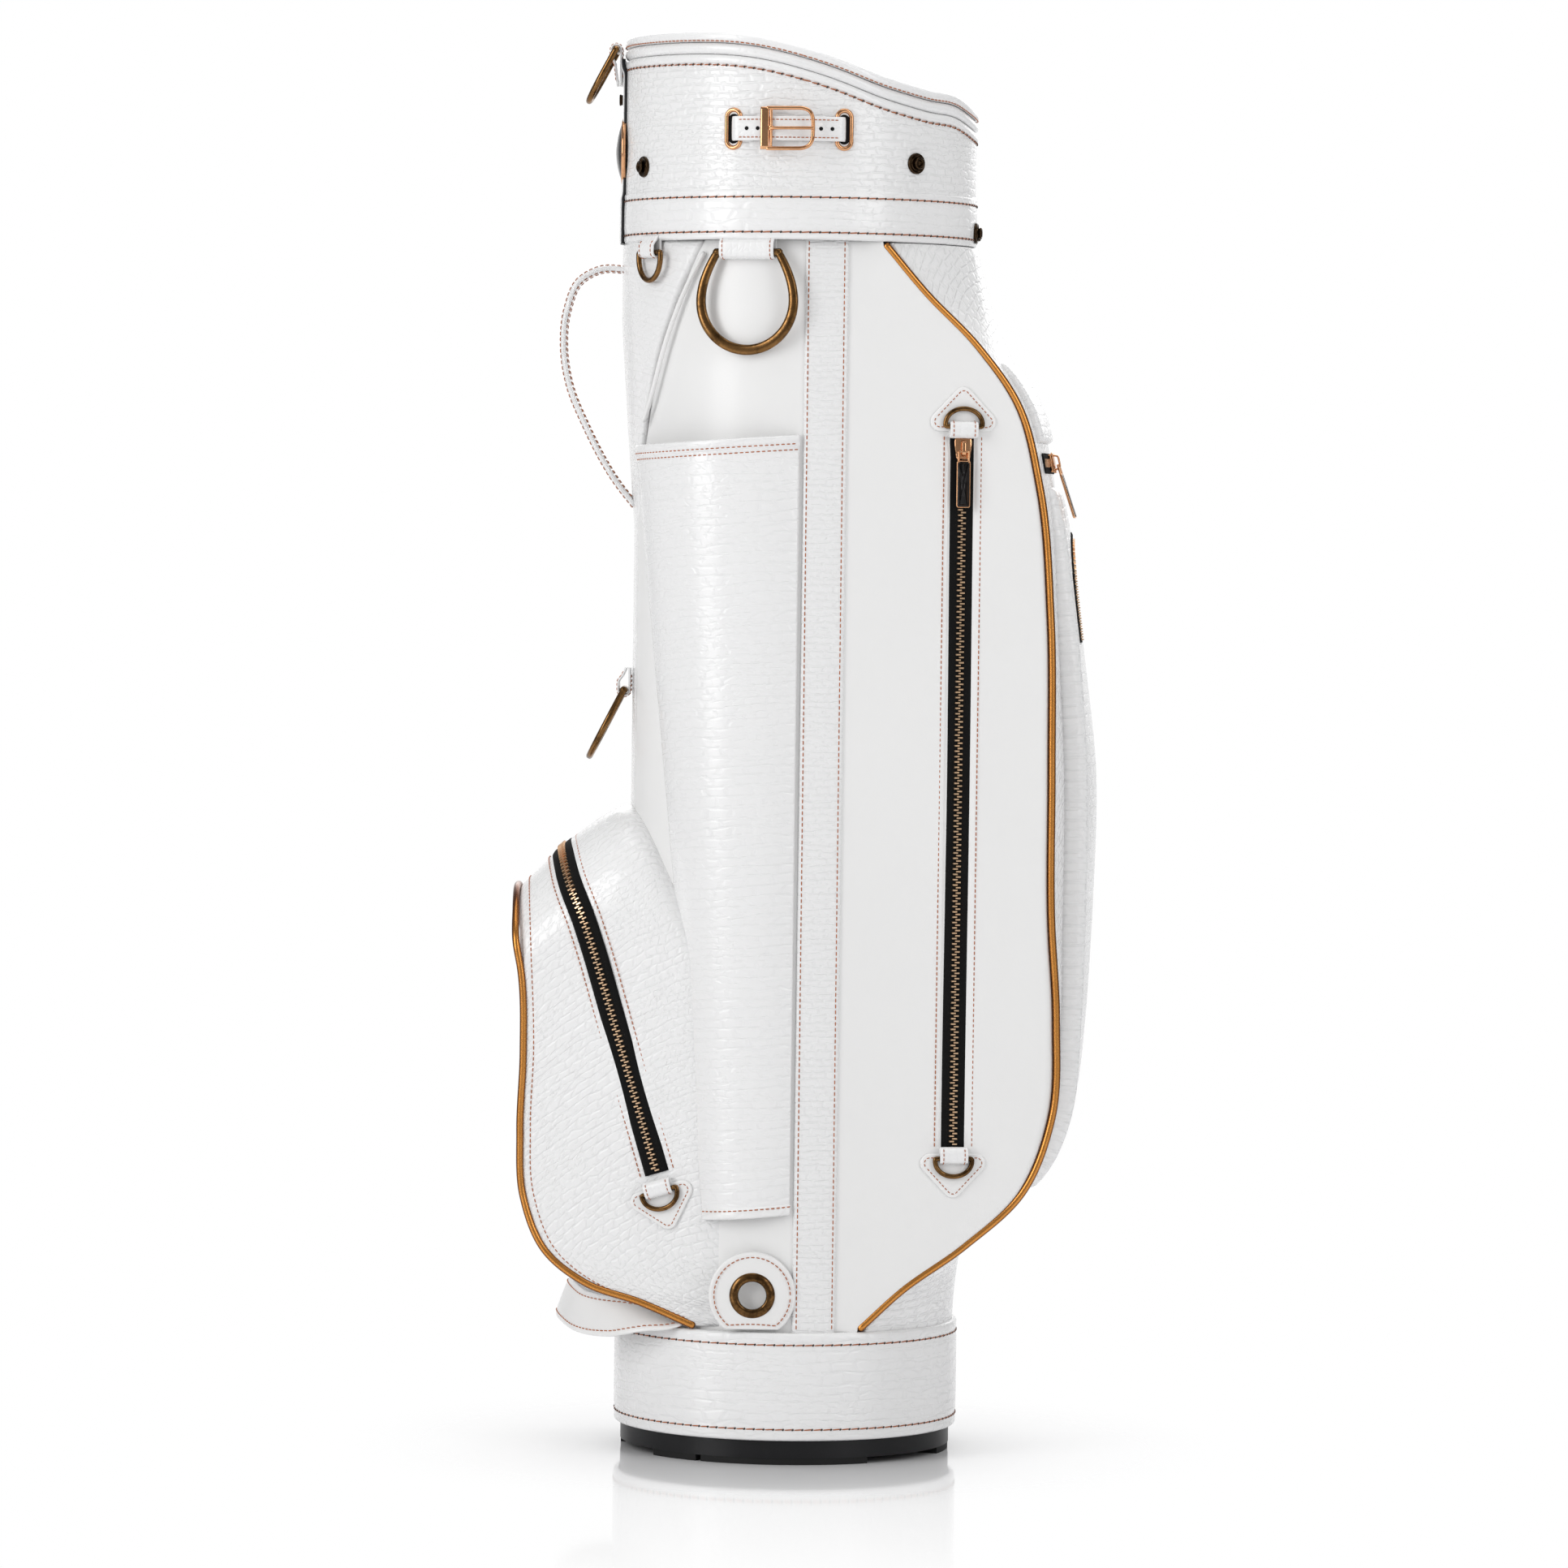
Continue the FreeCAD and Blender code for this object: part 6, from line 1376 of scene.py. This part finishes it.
z = np.concatenate([[BALL_FOOT + 0.5], np.linspace(88, 349.6, 100)])
x = np.interp(z, EDGE_LINE[::-1, 2], EDGE_LINE[::-1, 0])
w, top = half_width(x), ball_top(x)
r = w - BALL_FLAT
half = np.where(z < top - r, w, BALL_FLAT + np.sqrt(np.maximum(r**2 - (z - top + r) ** 2, 0)))
share = np.sin(np.linspace(-1, 1, 71) * math.pi / 2)[:, None]
bulge = 1.6 * (1 - share**2) * np.sin(np.clip((z - 84) / 266, 0, 1) * math.pi)
panel = grid_of(x[None] - bulge, share * (half[None] - 0.8), z[None])
leather("ball_front_leather", panel, LEATHER_T, ball_croc, 1.0, (1, 1, 0, 1), inside=(-60, 0, 240),
        hides=["ball_front"])

seam = [(x, -half_width(x), z) for x, z in reversed(BALL_EDGE[2:])]
w = -seam[-1][1]
seam += [(-170.3, -w + 1.5, 318), (-171.2, -w + 18, 338), (-171.6, -w + 40, 348.5)]
seam = curve(seam + [(-171.6, 0, 350.5)] + [(x, -y, z) for x, y, z in reversed(seam)], 2.0)
wire("ball_piping_cord", seam, PIPING_R, bronze_piping, 2.0, 2.0, slot="bronze_piping", hides=["ball_piping"])


def gusset_row(test, rise, shift=0.0, low=0.0):
    """A path over the gusset where a test is met, at a rise over it and moved along x, and its normals."""
    p = np.concatenate([np.linspace(low, 1, 90)[:-1], np.linspace(1, 2, 90)[:-1], np.linspace(2, 3, 12)])
    x = meet(p, test) + shift
    spot, along = arch_point(x, p), arch_point(x + 0.5, p) - arch_point(x - 0.5, p)
    up = unit(np.cross(np.gradient(spot, axis=0), along))
    up *= np.sign(np.sum(up * (spot - [-80, 0, 220]), axis=1, keepdims=True))
    spot, up = np.concatenate([spot, spot[-2::-1] * (1, -1, 1)]), np.concatenate([up, up[-2::-1] * (1, -1, 1)])
    even = run_length(spot)
    at = np.linspace(0, even[-1], int(even[-1] / 2.0))
    return sample(at, even, spot + up * rise), sample(at, even, up)


path, up = gusset_row(zip_test, 0.9)
keep = path[:, 2] > 176.0
path, up = path[keep], up[keep]
zip_line("ball_zip_chain", path, up, 7.8, hides=["ball_zip"])
side = unit(np.cross(up, np.gradient(path, axis=0)))
rows = [(path + side * s * 11.0 - up * 0.85, up) for s in (-1, 1)]
rows.append(gusset_row(edge_test, 0.05, 6.5, 0.02))
thread("ball_pocket_stitching", rows, fine_thread, 3.4, 2.6, 0.34)

(zip_x1, zip_z1), (zip_x0, zip_z0) = BALL_ZIP[-2:]
ZIP_SLANT = (zip_x0 - zip_x1) / (zip_z1 - zip_z0)
BALL_ZIP_LEAN = math.degrees(math.atan2((zip_x0 - zip_x1) / math.cos(math.radians(BALL_LEAN)), zip_z1 - zip_z0))


def ball_at(x, z, rise=0.0, shift=0.0):
    """Moves a piece made facing -Y onto the near side panel, leaning with the zip."""
    out = np.array([-math.sin(math.radians(BALL_LEAN)), -math.cos(math.radians(BALL_LEAN)), 0]) * rise
    spot = np.array([x, -half_width(x), z]) + out
    return lambda points: placed(points + (shift, 0, 0), spot, -BALL_LEAN, -BALL_ZIP_LEAN)


for side, far in SIDES:
    corner_patch(f"ball_tab_{side}", ball_at(-78.6, 166.5), f"ball_ring_{side}", -1, far, on_near(far, "ball_tabs"))
slider_z = 216.0
slider_x = zip_x0 - (slider_z - zip_z0) * ZIP_SLANT
zip_slider("ball_slider_zip", ball_at(slider_x, slider_z, 2.0, 0.57), "ball_slider", "ball_pull", True)

# ---- floor, light and camera ------------------------------------------------------------------------
# The bag stands on a glossy white floor in a white studio, lit by four large soft lamps.
floor_size = 6000.0
floor_x, floor_y = np.meshgrid((-floor_size, floor_size), (-floor_size, floor_size), indexing="ij")
floor_grid = grid_of(floor_x, floor_y, 0.0)
floor_mesh = bpy.data.meshes.new("studio_floor")
floor_mesh.from_pydata([tuple(p * MM) for p in floor_grid.reshape(-1, 3)], [], [(0, 2, 3, 1)])
floor = bpy.data.objects.new("studio_floor", floor_mesh)
bpy.context.scene.collection.objects.link(floor)
floor_paint, tree, shader = new_material("floor_gloss_white")
place = add(tree, "TexCoord").outputs["Object"]
near_bag = add(tree, "VectorMath", [(0, place)], operation="LENGTH").outputs["Value"]
smear = add(tree, "TexNoise", [("Vector", place), ("Scale", 7.0), ("Detail", 4.0)])
gloss = add(tree, "MapRange", [(0, smear.outputs["Fac"]), (3, 0.04), (4, 0.09)]).outputs[0]
tree.links.new(gloss, shader.inputs["Roughness"])
shader.inputs["Base Color"].default_value = (0.9, 0.9, 0.91, 1)
white = add(tree, "Emission", [("Color", (1, 1, 1, 1)), ("Strength", 1.0)]).outputs[0]
mirror = add(tree, "BsdfAnisotropic", [("Color", (1, 1, 1, 1)), ("Roughness", gloss)]).outputs[0]
fade = add(tree, "MapRange", [(0, near_bag), (1, 0.12), (2, 0.62), (3, 0.45), (4, 0.0)]).outputs[0]
polished = add(tree, "MixShader", [(0, fade), (1, white), (2, mirror)]).outputs[0]
haze = add(tree, "MapRange", [(0, near_bag), (1, 0.1), (2, 0.3)], interpolation_type="SMOOTHSTEP").outputs[0]
seen = math_node(tree, "MULTIPLY", haze, add(tree, "LightPath").outputs["Is Camera Ray"])
both = add(tree, "MixShader", [(0, seen), (1, shader.outputs[0]), (2, polished)])
tree.links.new(both.outputs[0], tree.nodes["Material Output"].inputs["Surface"])
floor_mesh.materials.append(floor_paint)

world = bpy.data.worlds.new("studio")
bpy.context.scene.world = world
world.use_nodes = True
tree = world.node_tree
rays = add(tree, "LightPath")
direct = math_node(tree, "MAXIMUM", rays.outputs["Is Camera Ray"], rays.outputs["Is Transmission Ray"])
level = add(tree, "MapRange", [(0, direct), (3, 0.55), (4, 1.0)]).outputs[0]
heading = add(tree, "SeparateXYZ", [(0, add(tree, "NewGeometry").outputs["Incoming"])]).outputs["Y"]
studio = add(tree, "MapRange", [(0, heading), (1, -0.8), (2, -0.93), (3, 0.28), (4, 1.0)]).outputs[0]
shown = add(tree, "Mix", [("Factor", rays.outputs["Is Glossy Ray"]), ("A", level), ("B", studio)]).outputs[0]
tree.links.new(shown, tree.nodes["Background"].inputs["Strength"])
tree.nodes["Background"].inputs["Color"].default_value = (1, 1, 1, 1)


def soft_lamp(name, place, aim, size, watts):
    lamp = bpy.data.lights.new(name, "AREA")
    lamp.shape, lamp.size, lamp.size_y, lamp.energy = "RECTANGLE", *size, watts
    made = bpy.data.objects.new(name, lamp)
    made.location = place
    made.rotation_mode = "QUATERNION"
    made.rotation_quaternion = (Vector(aim) - Vector(place)).to_track_quat("-Z", "Y")
    bpy.context.scene.collection.objects.link(made)


soft_lamp("lamp_left", (-2.6, -2.0, 1.5), (0, 0, 0.45), (1.2, 2.4), 42)
soft_lamp("lamp_right", (2.4, -2.4, 1.7), (0, 0, 0.45), (1.2, 2.4), 25)
soft_lamp("lamp_top", (0.2, 0.2, 3.2), (0, 0, 0.4), (2.2, 2.2), 31)
soft_lamp("lamp_back", (0.4, 2.8, 1.9), (0, 0, 0.45), (2.6, 2.0), 26)

camera = bpy.data.objects.new("camera", bpy.data.cameras.new("camera"))
camera.data.lens, camera.data.sensor_width = 163.1, 36.0
camera.location = (0, -4.46, 0.579)
camera.rotation_mode = "QUATERNION"
aim = (Vector((-0.0055, 0, 0.416)) - camera.location).to_track_quat("-Z", "Y")
camera.rotation_quaternion = aim @ Quaternion((0, 0, 1), math.radians(0.76))
bpy.context.scene.collection.objects.link(camera)
bpy.context.scene.camera = camera
bpy.context.scene.view_settings.view_transform = "Standard"
